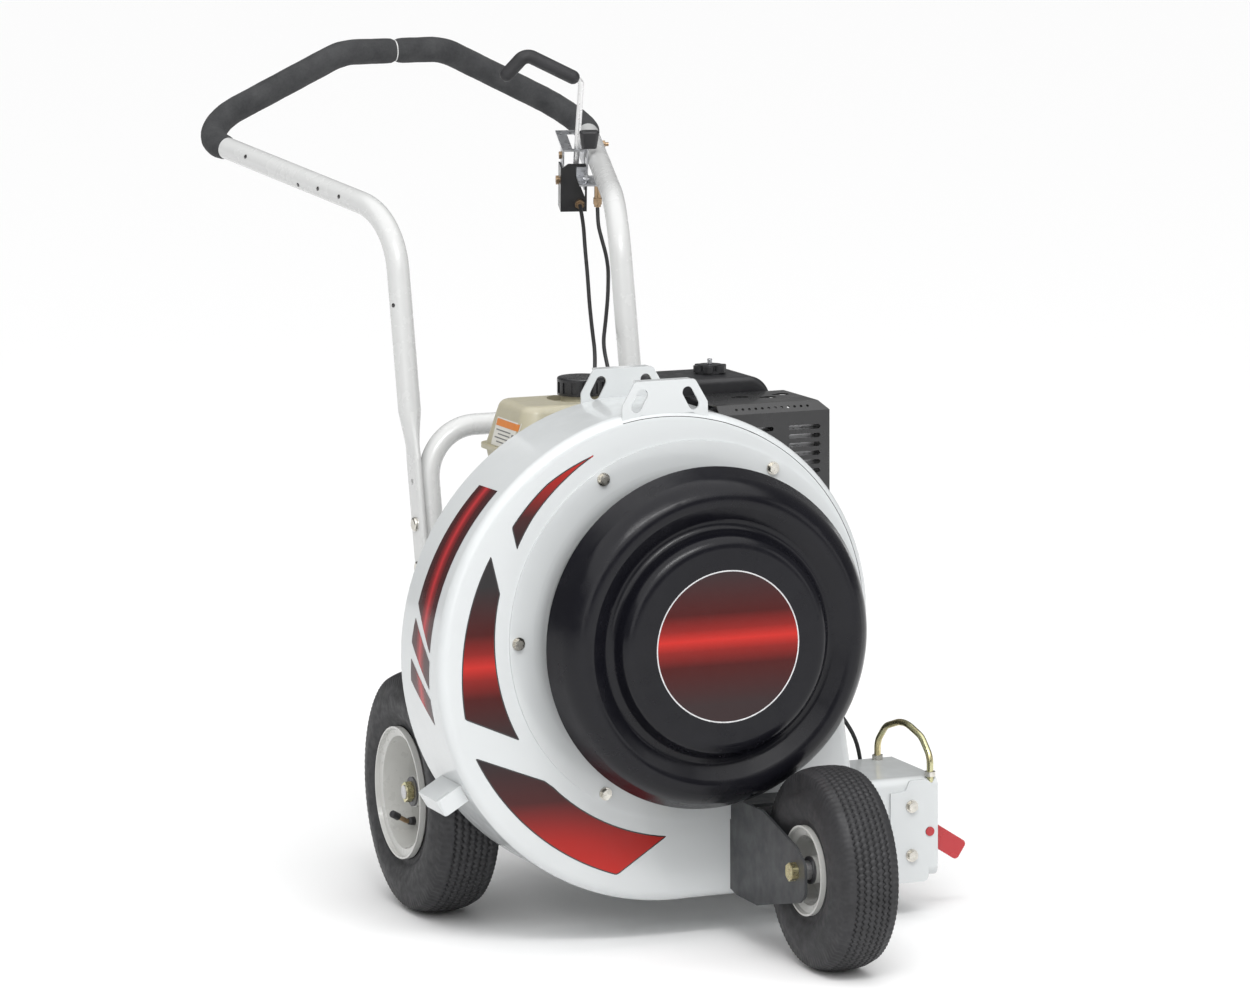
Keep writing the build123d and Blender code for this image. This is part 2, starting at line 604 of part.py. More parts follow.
# ================================================================ frame
def engine_deck():
    """Deck channel: a flat top with down-turned sides that carry the rear axle."""
    deck = block((-DECK_X, DECK_X), DECK_Y, (DECK_Z - DECK_SHEET, DECK_Z))
    for side in (-1, 1):
        outer = side * DECK_X
        inner = side * (DECK_X - DECK_SHEET)
        low, high = min(outer, inner), max(outer, inner)
        face = make_face(Polyline((DECK_Y[0], DECK_Z), (DECK_Y[1], DECK_Z), (DECK_Y[1], DECK_Z - 40),
                                  (REAR_AXLE_Y + 60, DECK_Z - 40), (REAR_AXLE_Y + 26, 140),
                                  (REAR_AXLE_Y - 26, 140), (REAR_AXLE_Y - 90, DECK_Z - 60),
                                  (DECK_Y[0], DECK_Z - 60), close=True))
        plate = extrude(Plane(origin=(low, 0, 0), x_dir=(0, 1, 0), z_dir=(1, 0, 0)) * face, amount=high - low)
        deck += plate
    deck += block((-DECK_X, DECK_X), (DECK_Y[0], DECK_Y[0] + 4), (150, DECK_Z))
    deck -= rod((-200, REAR_AXLE_Y, REAR_TYRE_R), (200, REAR_AXLE_Y, REAR_TYRE_R), REAR_AXLE_R)
    for x, y in ENGINE_FEET:
        deck -= rod((x, y, DECK_Z - 12), (x, y, DECK_Z + 2), 5.2)
    return deck


def engine_bolts():
    group = []
    for x, y in ENGINE_FEET:
        group.append(bolt((x, y, DECK_Z + 10), (0, 0, -1), 5, 15, 6, 30, washer=2))
    return Compound(group)


def lean_y(z):
    """Y of the leaning uprights' middle line at height z."""
    return 608.8 + (z - 700.0) * tan(radians(LEAN))


def hoop_frame():
    """Inverted U of round tube behind the engine, welded to the deck's sides."""
    foot = DECK_Z - 30
    points = [(-HOOP_X, lean_y(foot), foot), (-HOOP_X, lean_y(HOOP_TOP), HOOP_TOP),
              (HOOP_X, lean_y(HOOP_TOP), HOOP_TOP), (HOOP_X, lean_y(foot), foot)]
    solid = swept_tube(points, HOOP_TUBE_R, 75, "hoop_frame")
    for side in (-1, 1):
        solid += rod((side * (DECK_X + 0.2), lean_y(DECK_Z - 15), DECK_Z - 15),
                     (side * HOOP_X, lean_y(DECK_Z - 15), DECK_Z - 15), 10)
        for z in HANDLE_BOLTS_Z:
            solid -= rod((side * (HOOP_X - 30), lean_y(z), z), (side * (HOOP_X + 30), lean_y(z), z), 4.2)
    return solid


def handle():
    """One bent tube: flattened feet, leaning uprights, spread side arms and the top loop."""
    foot = Vector(UPRIGHT_X, lean_y(FLAT_END), FLAT_END)
    points = [foot, KNEE, SIDE_CORNER, TOP_CORNER]
    points += [Vector(-p.X, p.Y, p.Z) for p in reversed(points)]
    radii = [KNEE_R, SIDE_R, TOP_R, TOP_R, SIDE_R, KNEE_R]
    solid = swept_tube(points, TUBE_R, radii, "handle")
    for side in (-1, 1):
        solid += flattened_foot(side)
        for z in HANDLE_BOLTS_Z + (HANDLE_SPARE_Z,):
            solid -= rod((side * 140, lean_y(z), z), (side * 200, lean_y(z), z), 4.2)
    return solid - ARM.location * rod((90, -40, -8), (90, 40, -8), 3.1)


def flattened_foot(side):
    """The squashed lower end of an upright, lofted from round to flat."""
    slope = Vector(0, tan(radians(LEAN)), 1).normalized()
    round_end = Plane(origin=(side * UPRIGHT_X, lean_y(FLAT_END), FLAT_END), x_dir=(1, 0, 0), z_dir=slope)
    flat_start = Plane(origin=(side * FLAT_X, lean_y(FLAT_TOP), FLAT_TOP), x_dir=(1, 0, 0), z_dir=slope)
    section = RectangleRounded(FLAT_THICK, FLAT_WIDE, FLAT_THICK / 2 - 0.1)
    taper = loft([flat_start * section, round_end * Circle(TUBE_R - 0.1)])
    length = (FLAT_TOP - FLAT_FOOT) / slope.Z
    return taper + extrude(flat_start * section, amount=-length)


def handle_fasteners():
    """Carriage bolts through the handle's feet and the hoop, with nuts inside."""
    group = []
    for side in (-1, 1):
        outer = side * (FLAT_X + FLAT_THICK / 2)
        inner = side * (HOOP_X - HOOP_TUBE_R)
        for z in HANDLE_BOLTS_Z:
            y = lean_y(z)
            shank = rod((outer + side * 2, y, z), (inner - side * 12, y, z), 4)
            head = rod((outer, y, z), (outer + side * 5, y, z), 10)
            far = head.faces().sort_by(Axis.X)[0 if side < 0 else -1]
            group.append(shank + fillet(far.edges(), 3.5))
            group.append(nut((inner, y, z), (-side, 0, 0), 4, 13, 7))
    return Compound(group)


def foam_grip():
    """Soft sleeve round the top loop, from just past one side corner to the other."""
    right = SIDE_CORNER
    back = (KNEE - SIDE_CORNER).normalized()
    start = right + back * FOAM_START
    points = [start, SIDE_CORNER, TOP_CORNER]
    points += [Vector(-p.X, p.Y, p.Z) for p in reversed(points)]
    outer = swept_tube(points, FOAM_R, [SIDE_R, TOP_R, TOP_R, SIDE_R], "foam_grip")
    core = swept_tube(points, TUBE_R + 0.02, [SIDE_R, TOP_R, TOP_R, SIDE_R], "foam core")
    return outer - core


# ================================================================ engine
def crankcase():
    """Aluminium crankcase with a sloping top, sump feet and the cylinder boss."""
    body = rounded(CRANKCASE_X, CRANKCASE_Y, (DECK_Z + 10, CRANKCASE_TOP - 60), 24)
    body += block((-90, 90), (ENGINE_Y + 14, CRANKCASE_Y[1] - 4), (DECK_Z, DECK_Z + 10))
    body -= rod((0, ENGINE_Y - 1, FAN_Z), (0, CRANKCASE_Y[1] + 1, FAN_Z), SHAFT_R + 0.1)
    for x, y in ENGINE_FEET:
        body -= rod((x, y, DECK_Z - 1), (x, y, DECK_Z + 40), 12)
        body += pipe((x, y, DECK_Z), (x, y, DECK_Z + 10), 14, 5.2)
    return body


def cylinder():
    """Finned cylinder and head leaning towards the outlet side, with a valve cover."""
    lean = Pos(34, (CRANKCASE_Y[0] + CRANKCASE_Y[1]) / 2, CRANKCASE_TOP - 62) * Rot(0, 30, 0)
    solid = lean * Pos(0, 0, 30) * Box(92, 92, 90)
    for index in range(5):
        solid += lean * Pos(0, 0, 22 + index * 9) * Box(118, 118, 3)
    solid += lean * Pos(0, 0, 70) * Box(104, 96, 16)
    below = block((-400, 400), (0, 900), (0, CRANKCASE_TOP - 59.9))
    return solid - below


def fan_cover():
    """Cooling-air shroud behind the crankcase."""
    cover = rod((0, CRANKCASE_Y[1], FAN_Z), (0, 444, FAN_Z), 124)
    cover += rounded((-60, 96), (CRANKCASE_Y[1], 444), (FAN_Z, 552), 20)
    hollow = rod((0, CRANKCASE_Y[1] + 3, FAN_Z), (0, 450, FAN_Z), 118)
    cover -= hollow
    x, y, z = SWITCH_CENTRE
    cover -= rod((x, y - 3, z), (x, y + 1, z), 3.05)
    return cover - rod((0, 300, FAN_Z), (0, 450, FAN_Z), SHAFT_R + 4)


def recoil_cover():
    """Domed starter cover with radial air slots."""
    disc = rod((0, 444.2, FAN_Z), (0, 452, FAN_Z), 118)
    disc += rod((0, 452, FAN_Z), (0, 476, FAN_Z), 82)
    disc -= rod((0, 444, FAN_Z), (0, 472, FAN_Z), 76)
    for index in range(12):
        slot = block((88, 110), (440, 460), (-4, 4))
        disc -= Pos(0, 0, FAN_Z) * Rot(0, index * 30, 0) * slot
    disc += block((-112, -84), (446, 476), (FAN_Z - 14, FAN_Z + 30))
    disc -= rod((-140, 462, FAN_Z + 8), (-80, 462, FAN_Z + 8), 4)
    return disc


def starter_grip():
    """Pull handle of the recoil starter with the first of its rope."""
    grip = rounded((-138, -120), (452, 472), (FAN_Z - 38, FAN_Z + 54), 8, Axis.Z)
    return grip + rod((-121, 462, FAN_Z + 8), (-90, 462, FAN_Z + 8), 2.5)


def fuel_tank():
    """Two-part moulded tank: a lower tub, the seam flange and a tapered upper half with a neck."""
    middle = Pos((TANK_X[0] + TANK_X[1]) / 2, (TANK_Y[0] + TANK_Y[1]) / 2, 0)
    wide = TANK_X[1] - TANK_X[0]
    deep = TANK_Y[1] - TANK_Y[0]
    seam = middle * Pos(0, 0, TANK_SEAM[0] + 1) * RectangleRounded(wide, deep, 28)
    tub = loft([middle * Pos(0, 0, TANK_Z[0]) * RectangleRounded(wide - 12, deep - 12, 24), seam])
    tub = fillet(tub.faces().sort_by(Axis.Z)[0].edges(), 10)
    reach = 2 * TANK_SEAM_REACH
    flange = extrude(middle * Pos(0, 0, TANK_SEAM[0]) * RectangleRounded(wide + reach, deep + reach, 32),
                     amount=TANK_SEAM[1] - TANK_SEAM[0])
    shoulder = middle * Pos(0, 0, TANK_SEAM[1] - 1) * RectangleRounded(wide, deep, 28)
    crown = middle * Pos(0, 0, TANK_Z[1]) * RectangleRounded(wide - 34, deep - 34, 22)
    upper = loft([shoulder, crown])
    upper = fillet(upper.faces().sort_by(Axis.Z)[-1].edges(), 14)
    upper -= rod((CAP_X, CAP_Y, TANK_Z[1] - 8), (CAP_X, CAP_Y, TANK_Z[1] + 5), CAP_R + 14)
    neck = rod((CAP_X, CAP_Y, TANK_Z[1] - 10), (CAP_X, CAP_Y, CAP_Z[0] - 0.3), CAP_R - 5)
    saddle = block((-60, 60), (TANK_Y[0] + 10, TANK_Y[1] - 12), (552.2, TANK_Z[0] + 4))
    return tub + flange + upper + neck + saddle


def fuel_cap():
    """Filler cap with wide grip ribs and a raised top."""
    cap = rod((CAP_X, CAP_Y, CAP_Z[0]), (CAP_X, CAP_Y, CAP_Z[1]), CAP_R)
    cap = fillet(cap.faces().sort_by(Axis.Z)[-1].edges(), 3)
    ribs = 14
    for index in range(ribs):
        groove = block((CAP_R - 2, CAP_R + 3), (-4, 4), (CAP_Z[0] + 3, CAP_Z[1] - 6))
        cap -= Pos(CAP_X, CAP_Y, 0) * Rot(0, 0, index * 360 / ribs) * groove
    return cap


def air_cleaner_base():
    base = rounded(CLEANER_X, CLEANER_Y, (CLEANER_Z[0], CLEANER_Z[0] + 26), 22, Axis.Z)
    x, y = KNOB_AT
    return base + rod((x, y, CLEANER_Z[0] + 20), (x, y, CLEANER_Z[1] + 20), 3)


def air_cleaner_cover():
    low = CLEANER_Z[0] + 26.2
    cover = rounded(CLEANER_X, CLEANER_Y, (low, CLEANER_Z[1]), 34, Axis.Y)
    cover = fillet(cover.faces().sort_by(Axis.Z)[-1].edges(), 8)
    return cover - rod((*KNOB_AT, low - 1), (*KNOB_AT, CLEANER_Z[1] + 1), 3.4)


def air_cleaner_knob():
    """Six-lobed plastic knob on the air cleaner's stud."""
    x, y = KNOB_AT
    low = CLEANER_Z[1] + 0.4
    knob = rod((x, y, low), (x, y, low + 12), 17)
    knob += rod((x, y, low), (x, y, low + 4), 21)
    for index in range(6):
        knob += Pos(x, y, 0) * Rot(0, 0, index * 60) * rod((16, 0, low + 2), (16, 0, low + 11), 8)
    return knob - rod((x, y, low - 1), (x, y, low + 20), 3.05)


def carburetor():
    """Carburettor body and bowl between the cylinder and the air cleaner."""
    body = rounded((116, 164), (346, 392), (498, 546), 8, Axis.X)
    body += rod((140, 369, 470), (140, 369, 498), 20)
    body += rod((140, 369, 546), (140, 369, CLEANER_Z[0]), 16)
    return body


def muffler():
    """Hollow muffler box behind the shield."""
    x = (MUFFLER_X[0] + 16, MUFFLER_X[1] - 16)
    y = (MUFFLER_Y[0] + 16, MUFFLER_Y[1] - 16)
    z = (MUFFLER_Z[0] + 8, MUFFLER_Z[1] - 16)
    skin = 2.0
    hollow = rounded((x[0] + skin, x[1] - skin), (y[0] + skin, y[1] - skin), (z[0] + skin, z[1] - skin), 22)
    return rounded(x, y, z, 24) - hollow


def shield_shell(inset):
    """The shield's outer form, inset on its closed sides, with its top edges bevelled."""
    body = block((MUFFLER_X[0] - inset * 5, MUFFLER_X[1] - inset), (MUFFLER_Y[0] + inset, MUFFLER_Y[1] + inset * 5),
                 (MUFFLER_Z[0] - inset * 5, MUFFLER_Z[1] - inset))
    top = body.faces().sort_by(Axis.Z)[-1].edges()
    front = top.filter_by(Axis.X).sort_by(Axis.Y)[0]
    side = top.filter_by(Axis.Y).sort_by(Axis.X)[-1]
    return chamfer([front, side], SHIELD_BEVEL - inset / 2)


def muffler_shield():
    """Perforated heat shield: slots in its front, a row of small holes and three wide ones on top."""
    shield = shield_shell(0) - shield_shell(SHIELD_SHEET)
    slot = extrude(SlotOverall(47, 6), amount=9, both=True)
    for column in range(2):
        for row in range(9):
            x = MUFFLER_X[1] - 37 - column * 69
            z = MUFFLER_Z[1] - 34 - row * 12
            shield -= Pos(x, MUFFLER_Y[0], z) * Rot(90, 0, 0) * slot
    half = SHIELD_BEVEL / 2
    for index in range(12):
        x = MUFFLER_X[1] - 30 - index * 9.5
        middle = Vector(x, MUFFLER_Y[0] + half, MUFFLER_Z[1] - half)
        shield -= rod(middle - Vector(0, 4, -4), middle + Vector(0, 4, -4), 2)
    for x, y in SHIELD_VENTS:
        hole = rod((x, y, MUFFLER_Z[1] - 9), (x, y, MUFFLER_Z[1] + 5), 9)
        hole += block((x - 15, x), (y - 4, y + 4), (MUFFLER_Z[1] - 9, MUFFLER_Z[1] + 5))
        shield -= hole
    return shield


def engine_switch():
    """Rocker switch on the shroud's side."""
    x, y, z = SWITCH_CENTRE
    rocker = rounded((x - 13, x + 13), (y, y + 5), (z - 8, z + 8), 3, Axis.Y)
    return rocker + rod((x, y - 1.9, z), (x, y + 1, z), 3)


# ================================================================ controls
ALONG = (SIDE_CORNER - KNEE).normalized()
ARM_UP = (Vector(0, 0, 1) - ALONG * ALONG.Z).normalized()
ARM = Plane(origin=KNEE + ALONG * 290, x_dir=ALONG, z_dir=ARM_UP)   # x along the arm, y inwards, z up


def on_arm(x, y, z):
    """A point given in the right arm's own directions."""
    return ARM.from_local_coords(Vector(x, y, z))


def arm_block(x, y, z):
    """A box between limits given in the right arm's own directions."""
    return ARM.location * block(x, y, z)


LEVER_PIVOT = (8.0, 30.0, -40.0)
THROTTLE_PIVOT = (-44.0, 17.6, -25.0)
KNOB_Y = 15.0
KNOB_Z = (21.0, 47.0)
SHELF_Z = (-32.0, -29.5)    # the throttle bracket's shelf
TUBE_SIDE = TUBE_R + 0.3


def control_bracket():
    """Zinc-plated channel beside the arm: slotted top plate and two webs, bolted through the tube."""
    top = arm_block((-6, 112), (TUBE_SIDE, 50), (6, 8.5))
    inner_web = arm_block((-6, 112), (TUBE_SIDE, TUBE_SIDE + 2.5), (-20, 8.5))
    inner_web += arm_block((-6, 26), (TUBE_SIDE, TUBE_SIDE + 2.5), (-52, -18))
    outer_web = arm_block((-6, 26), (47.5, 50), (-52, 8.5))
    solid = top + inner_web + outer_web
    solid -= arm_block((2, 96), (20.5, 35), (4, 12))
    solid -= ARM.location * rod((90, 10, -8), (90, 22, -8), 3.1)
    solid -= ARM.location * rod((10, 45, -3), (10, 55, -3), 3.1)
    x, _, z = LEVER_PIVOT
    return solid - ARM.location * rod((x, 5, z), (x, 60, z), 4.05)


def cable_bracket():
    """Black formed plate in front of the channel, with a triangular window."""
    face = make_face(Polyline((14, -84), (50, -84), (50, -18), (42, -12), (16, -12), (14, -20), close=True))
    face -= make_face(Polyline((17, -36), (28, -34), (17, -62), close=True))
    plane = Plane(origin=(-8.6, 0, 0), x_dir=(0, 1, 0), z_dir=(1, 0, 0))
    plate = extrude(plane * face, amount=2.5)
    side = block((-8.6, 30), (50.2, 52.7), (-84, -18))
    x, _, z = LEVER_PIVOT
    side -= rod((x, 49, z), (x, 54, z), 4.05)
    side += block((-8.6, -6.1), (48, 52.7), (-84, -18))
    return ARM.location * (plate + side)


def control_fasteners():
    """Pivot bolt, tube bolt and web screw with their nuts, and the two cable adjusters."""
    x, _, z = LEVER_PIVOT
    group = [ARM.location * bolt((x, 53.5, z), (0, -1, 0), 4, 12, 5, 44),
             ARM.location * nut((x, TUBE_SIDE - 0.05, z), (0, -1, 0), 4, 12, 6),
             ARM.location * bolt((90, TUBE_SIDE + 2.5, -8), (0, -1, 0), 3, 10, 4, 46),
             ARM.location * nut((90, -TUBE_SIDE, -8), (0, -1, 0), 3, 10, 6),
             ARM.location * bolt((10, 50, -3), (0, -1, 0), 3, 10, 4, 2.6)]
    barrel = rod((-45, 2, SHELF_Z[0]), (-45, 2, -67), 5) + hexagon((-45, 2, -54), (0, 0, -1), 12, 9)
    clamp = hexagon((-8.7, 25, -72), (-1, 0, 0), 13, 6) + rod((-8.7, 25, -72), (-18, 25, -72), 4)
    group += [ARM.location * barrel, ARM.location * clamp]
    return Compound(group)


def deflector_lever():
    """Bent rod lever with a hub on its pivot and a short arm behind for the cable's wire."""
    x, y, z = LEVER_PIVOT
    points = [on_arm(x, y, z + 6), on_arm(x, 22, 108), on_arm(x, 104, 150), on_arm(x, 133, 118)]
    lever = swept_tube(points, 4.25, [9, 14], "deflector_lever")
    hub = ARM.location * pipe((x, y - 8, z), (x, y + 8, z), 8, 4.07)
    crank = arm_block((x + 7.6, x + 28), (y - 1.5, y + 1.5), (z - 6, z + 6))
    return lever + hub + crank


def lever_grip():
    """Soft sleeve over the lever's bent end."""
    x, _, _ = LEVER_PIVOT
    head = Vector(on_arm(x, 104, 150) - on_arm(x, 22, 108)).normalized()
    start = on_arm(x, 22, 108) + head * 10
    tip = on_arm(x, 133, 118) + (on_arm(x, 133, 118) - on_arm(x, 104, 150)).normalized() * 4
    sleeve = swept_tube([start, on_arm(x, 104, 150), tip], 9.6, [14], "lever_grip")
    core = swept_tube([start - head, on_arm(x, 104, 150), on_arm(x, 133, 118)], 4.27, [14], "grip core")
    return sleeve - core


def throttle_base():
    """Folded zinc bracket: a foot on the black plate, a shelf for the adjuster and a pivot ear."""
    x, _, z = THROTTLE_PIVOT
    solid = arm_block((-11.1, -8.6), (14, 30), (SHELF_Z[0], -16))
    solid += arm_block((-62, -8.6), (-8, 30), SHELF_Z)
    solid += arm_block((x - 8, x + 8), (19, 21.5), (SHELF_Z[0], z + 8))
    return solid - ARM.location * rod((x, 10, z), (x, 30, z), 2.55)


def throttle_lever():
    """Flat throttle lever on a pivot pin."""
    x, y, z = THROTTLE_PIVOT
    strip = arm_block((x - 4, x + 4), (y - 1, y + 1), (z, KNOB_Z[0] + 14))
    hub = ARM.location * rod((x, y - 1, z), (x, y + 1, z), 4.2)
    pin = ARM.location * rod((x, y - 3, z), (x, y + 6, z), 2.5)
    return strip + hub + pin


def throttle_knob():
    """Tapered knob with a domed top on the throttle lever."""
    x, _, _ = THROTTLE_PIVOT
    low = Plane(origin=(x, KNOB_Y, KNOB_Z[0]), z_dir=(0, 0, 1)) * RectangleRounded(12, 22, 5)
    high = Plane(origin=(x, KNOB_Y, KNOB_Z[1]), z_dir=(0, 0, 1)) * RectangleRounded(17, 30, 7)
    knob = loft([low, high])
    knob = fillet(knob.faces().sort_by(Axis.Z)[-1].edges(), 3)
    return ARM.location * knob - throttle_lever()


def cord(points, diameter, label):
    """A cable along straight runs joined by arcs as large as the runs allow."""
    points = [p if isinstance(p, Vector) else Vector(*p) for p in points]
    radii = []
    for before, at, after in zip(points, points[1:], points[2:]):
        turn = radians((at - before).get_angle(after - at))
        shorter = min((at - before).length, (after - at).length)
        radii.append(0.45 * shorter / tan(turn / 2))
    print(f"{label}: tightest radius {min(radii):.1f} mm of {diameter} mm cable, runs "
          f"{[round((b - a).length) for a, b in zip(points, points[1:])]}")
    return swept_tube(points, diameter / 2, radii, label)


DEFLECTOR_ROUTE = [on_arm(-19.4, 25, -72.2), (211, 888, 857), (194, 840, 828), (176, 786, 796), (153, 722, 762),
                   (128, 650, 734), (106, 584, 708), (84, 534, 670), (80, 507, 610), (90, 494, 540),
                   (103, 492, 468), (118, 490, 396), (134, 478, 328), (150, 440, 280), (160, 384, 262),
                   (166, 320, 268), (174, 262, 280), (194, 212, 296), (240, 174, 292), (286, 160, 262),
                   (312, 157, 220), (320, 156, 184), (317, 155.5, 148)]
THROTTLE_ROUTE = [on_arm(-45, 2, -68.8), (234, 888, 856), (232, 868, 836), (226, 838, 818), (214, 800, 801),
                  (187, 735, 772), (157, 670, 744), (127, 607, 718), (112, 550, 688), (108, 508, 636),
                  (106, 482, 576), (112, 446, 542), (124, 408, 526)]


def deflector_cable():
    return cord(DEFLECTOR_ROUTE, CABLE_D, "deflector_cable")


def throttle_cable():
    return cord(THROTTLE_ROUTE, CABLE_D, "throttle_cable")


def nodes():
    """Every sub-part by name."""
    return {
        "scroll_housing": scroll_housing,
        "back_plate": back_plate,
        "inlet_ring": inlet_ring,
        "inlet_guard": inlet_guard,
        "inlet_dome": inlet_dome,
        "inlet_fasteners": inlet_fasteners,
        "impeller": impeller,
        "impeller_bolt": impeller_bolt,
        "crankshaft": crankshaft,
        "flywheel": flywheel,
        "rear_tyre_left": lambda: tyre(rear_centre(-1), REAR_TYRE_R, REAR_TYRE_W, REAR_RIM_R - 9),
        "rear_tyre_right": lambda: tyre(rear_centre(1), REAR_TYRE_R, REAR_TYRE_W, REAR_RIM_R - 9),
        "rear_rim_left": lambda: rear_rim(-1),
        "rear_rim_right": lambda: rear_rim(1),
        "rear_bearings_left": lambda: rear_bearings(-1),
        "rear_bearings_right": lambda: rear_bearings(1),
        "front_tyre": lambda: tyre(FRONT_CENTRE, FRONT_TYRE_R, FRONT_TYRE_W, FRONT_RIM_R - 9),
        "front_rim": front_rim,
        "front_bearings": front_bearings,
        "rear_axle": rear_axle,
        "axle_collars": axle_collars,
        "axle_nuts": axle_nuts,
        "front_fork": front_fork,
        "front_axle": front_axle,
        "lift_brackets": lift_brackets,
        "tie_down_bracket": tie_down_bracket,
        "outlet_side_plate": outlet_side_plate,
        "housing_fasteners": housing_fasteners,
        "outlet_hoop": outlet_hoop,
        "stream_vane": stream_vane,
        "engine_deck": engine_deck,
        "engine_bolts": engine_bolts,
        "hoop_frame": hoop_frame,
        "handle": handle,
        "handle_fasteners": handle_fasteners,
        "foam_grip": foam_grip,
        "crankcase": crankcase,
        "cylinder": cylinder,
        "fan_cover": fan_cover,
        "recoil_cover": recoil_cover,
        "starter_grip": starter_grip,
        "fuel_tank": fuel_tank,
        "fuel_cap": fuel_cap,
        "air_cleaner_base": air_cleaner_base,
        "air_cleaner_cover": air_cleaner_cover,
        "air_cleaner_knob": air_cleaner_knob,
        "carburetor": carburetor,
        "muffler": muffler,
        "muffler_shield": muffler_shield,
        "engine_switch": engine_switch,
        "control_bracket": control_bracket,
        "cable_bracket": cable_bracket,
        "control_fasteners": control_fasteners,
        "deflector_lever": deflector_lever,
        "lever_grip": lever_grip,
        "throttle_base": throttle_base,
        "throttle_lever": throttle_lever,
        "throttle_knob": throttle_knob,
        "deflector_cable": deflector_cable,
        "throttle_cable": throttle_cable,
    }


def main():
    os.makedirs("parts", exist_ok=True)
    shift = Pos(-FOOTPRINT_X, -FOOTPRINT_Y, 0)
    for name, make in nodes().items():
        export_step(shift * make(), f"parts/{name}.step")


if __name__ == "__main__":
    main()
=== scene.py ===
"""Looks of the walk-behind leaf blower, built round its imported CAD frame.

Lengths are in metres. Helpers take millimetres in the part's design frame: x = 0 is the fan's
middle plane, y = 0 the front face of the housing and z = 0 the ground.
"""
from math import cos, pi, radians, sin, tan
import random

import bpy
from mathutils import Matrix, Vector
from mathutils.bvhtree import BVHTree
from mathutils.geometry import delaunay_2d_cdt


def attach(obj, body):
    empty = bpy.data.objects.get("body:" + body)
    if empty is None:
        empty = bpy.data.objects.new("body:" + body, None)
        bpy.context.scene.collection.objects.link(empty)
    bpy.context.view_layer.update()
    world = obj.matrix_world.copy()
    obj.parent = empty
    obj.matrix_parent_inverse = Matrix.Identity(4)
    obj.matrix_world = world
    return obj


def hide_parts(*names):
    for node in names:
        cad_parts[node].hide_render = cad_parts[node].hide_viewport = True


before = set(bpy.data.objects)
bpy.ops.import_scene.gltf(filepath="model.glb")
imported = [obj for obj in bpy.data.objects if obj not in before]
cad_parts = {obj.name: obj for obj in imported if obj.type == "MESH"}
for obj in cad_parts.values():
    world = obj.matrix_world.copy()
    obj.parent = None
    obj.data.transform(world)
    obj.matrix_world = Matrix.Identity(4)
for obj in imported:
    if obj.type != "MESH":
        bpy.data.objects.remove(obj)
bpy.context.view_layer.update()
random.seed(7)

SHIFT = Vector((29.75, 401.25, 0.0))
FAN_Z = 416.5


def at(x, y, z):
    """A point of the design frame in millimetres, as metres in the row frame."""
    return (Vector((x, y, z)) - SHIFT) / 1000


# ---------------------------------------------------------------- camera
CAMERA_PLACE = (-2701.1, -6407.4, 1652.5)
CAMERA_RIGHT = Vector((0.925597, -0.378458, -0.006307))
CAMERA_UP = Vector((0.062983, 0.137564, 0.988488))


def make_camera():
    data = bpy.data.cameras.new("camera")
    camera = bpy.data.objects.new("camera", data)
    bpy.context.scene.collection.objects.link(camera)
    right = CAMERA_RIGHT.normalized()
    back = right.cross(CAMERA_UP).normalized()
    up = back.cross(right)
    turn = Matrix((right, up, back)).transposed().to_4x4()
    camera.matrix_world = Matrix.Translation(at(*CAMERA_PLACE)) @ turn
    data.sensor_width = 36.0
    data.lens = 155.69
    data.clip_start = 0.5
    data.clip_end = 120.0
    bpy.context.scene.camera = camera


make_camera()


# ---------------------------------------------------------------- materials
class Nodes:
    """Short-hand for building a node tree."""

    def __init__(self, name):
        self.material = bpy.data.materials.new(name)
        self.material.use_nodes = True
        self.tree = self.material.node_tree
        self.shader = self.tree.nodes["Principled BSDF"]
        self.coords = self.tree.nodes.new("ShaderNodeTexCoord")

    def add(self, kind, **values):
        node = self.tree.nodes.new(kind)
        for key, value in values.items():
            setattr(node, key, value)
        return node

    def link(self, source, target):
        self.tree.links.new(source, target)

    def noise(self, scale, detail=4.0, rough=0.55, stretch=None):
        """Noise in object space, with an optional stretch of the coordinates."""
        node = self.add("ShaderNodeTexNoise")
        node.inputs["Scale"].default_value = scale
        node.inputs["Detail"].default_value = detail
        node.inputs["Roughness"].default_value = rough
        source = self.coords.outputs["Object"]
        if stretch:
            mapping = self.add("ShaderNodeMapping")
            mapping.inputs["Scale"].default_value = stretch
            self.link(source, mapping.inputs["Vector"])
            source = mapping.outputs["Vector"]
        self.link(source, node.inputs["Vector"])
        return node.outputs["Fac"]

    def spread(self, value, low, high, start=0.35, end=0.65):
        """Maps a 0..1 value between start and end to low..high."""
        node = self.add("ShaderNodeMapRange")
        node.inputs["From Min"].default_value = start
        node.inputs["From Max"].default_value = end
        node.inputs["To Min"].default_value = low
        node.inputs["To Max"].default_value = high
        self.link(value, node.inputs["Value"])
        return node.outputs["Result"]

    def ramp(self, value, stops):
        node = self.add("ShaderNodeValToRGB")
        elements = node.color_ramp.elements
        while len(elements) < len(stops):
            elements.new(0.5)
        for element, (place, colour) in zip(elements, stops):
            element.position = place
            element.color = (*colour, 1.0)
        self.link(value, node.inputs["Fac"])
        return node.outputs["Color"]

    def bump(self, height, strength, distance):
        node = self.add("ShaderNodeBump")
        node.inputs["Strength"].default_value = strength
        node.inputs["Distance"].default_value = distance
        self.link(height, node.inputs["Height"])
        return node

    def axis(self, name):
        """One object-space coordinate."""
        node = self.add("ShaderNodeSeparateXYZ")
        self.link(self.coords.outputs["Object"], node.inputs["Vector"])
        return node.outputs[name]

    def put(self, **sockets):
        for name, value in sockets.items():
            socket = self.shader.inputs[name.replace("_", " ")]
            if hasattr(value, "links"):
                self.link(value, socket)
            else:
                socket.default_value = value


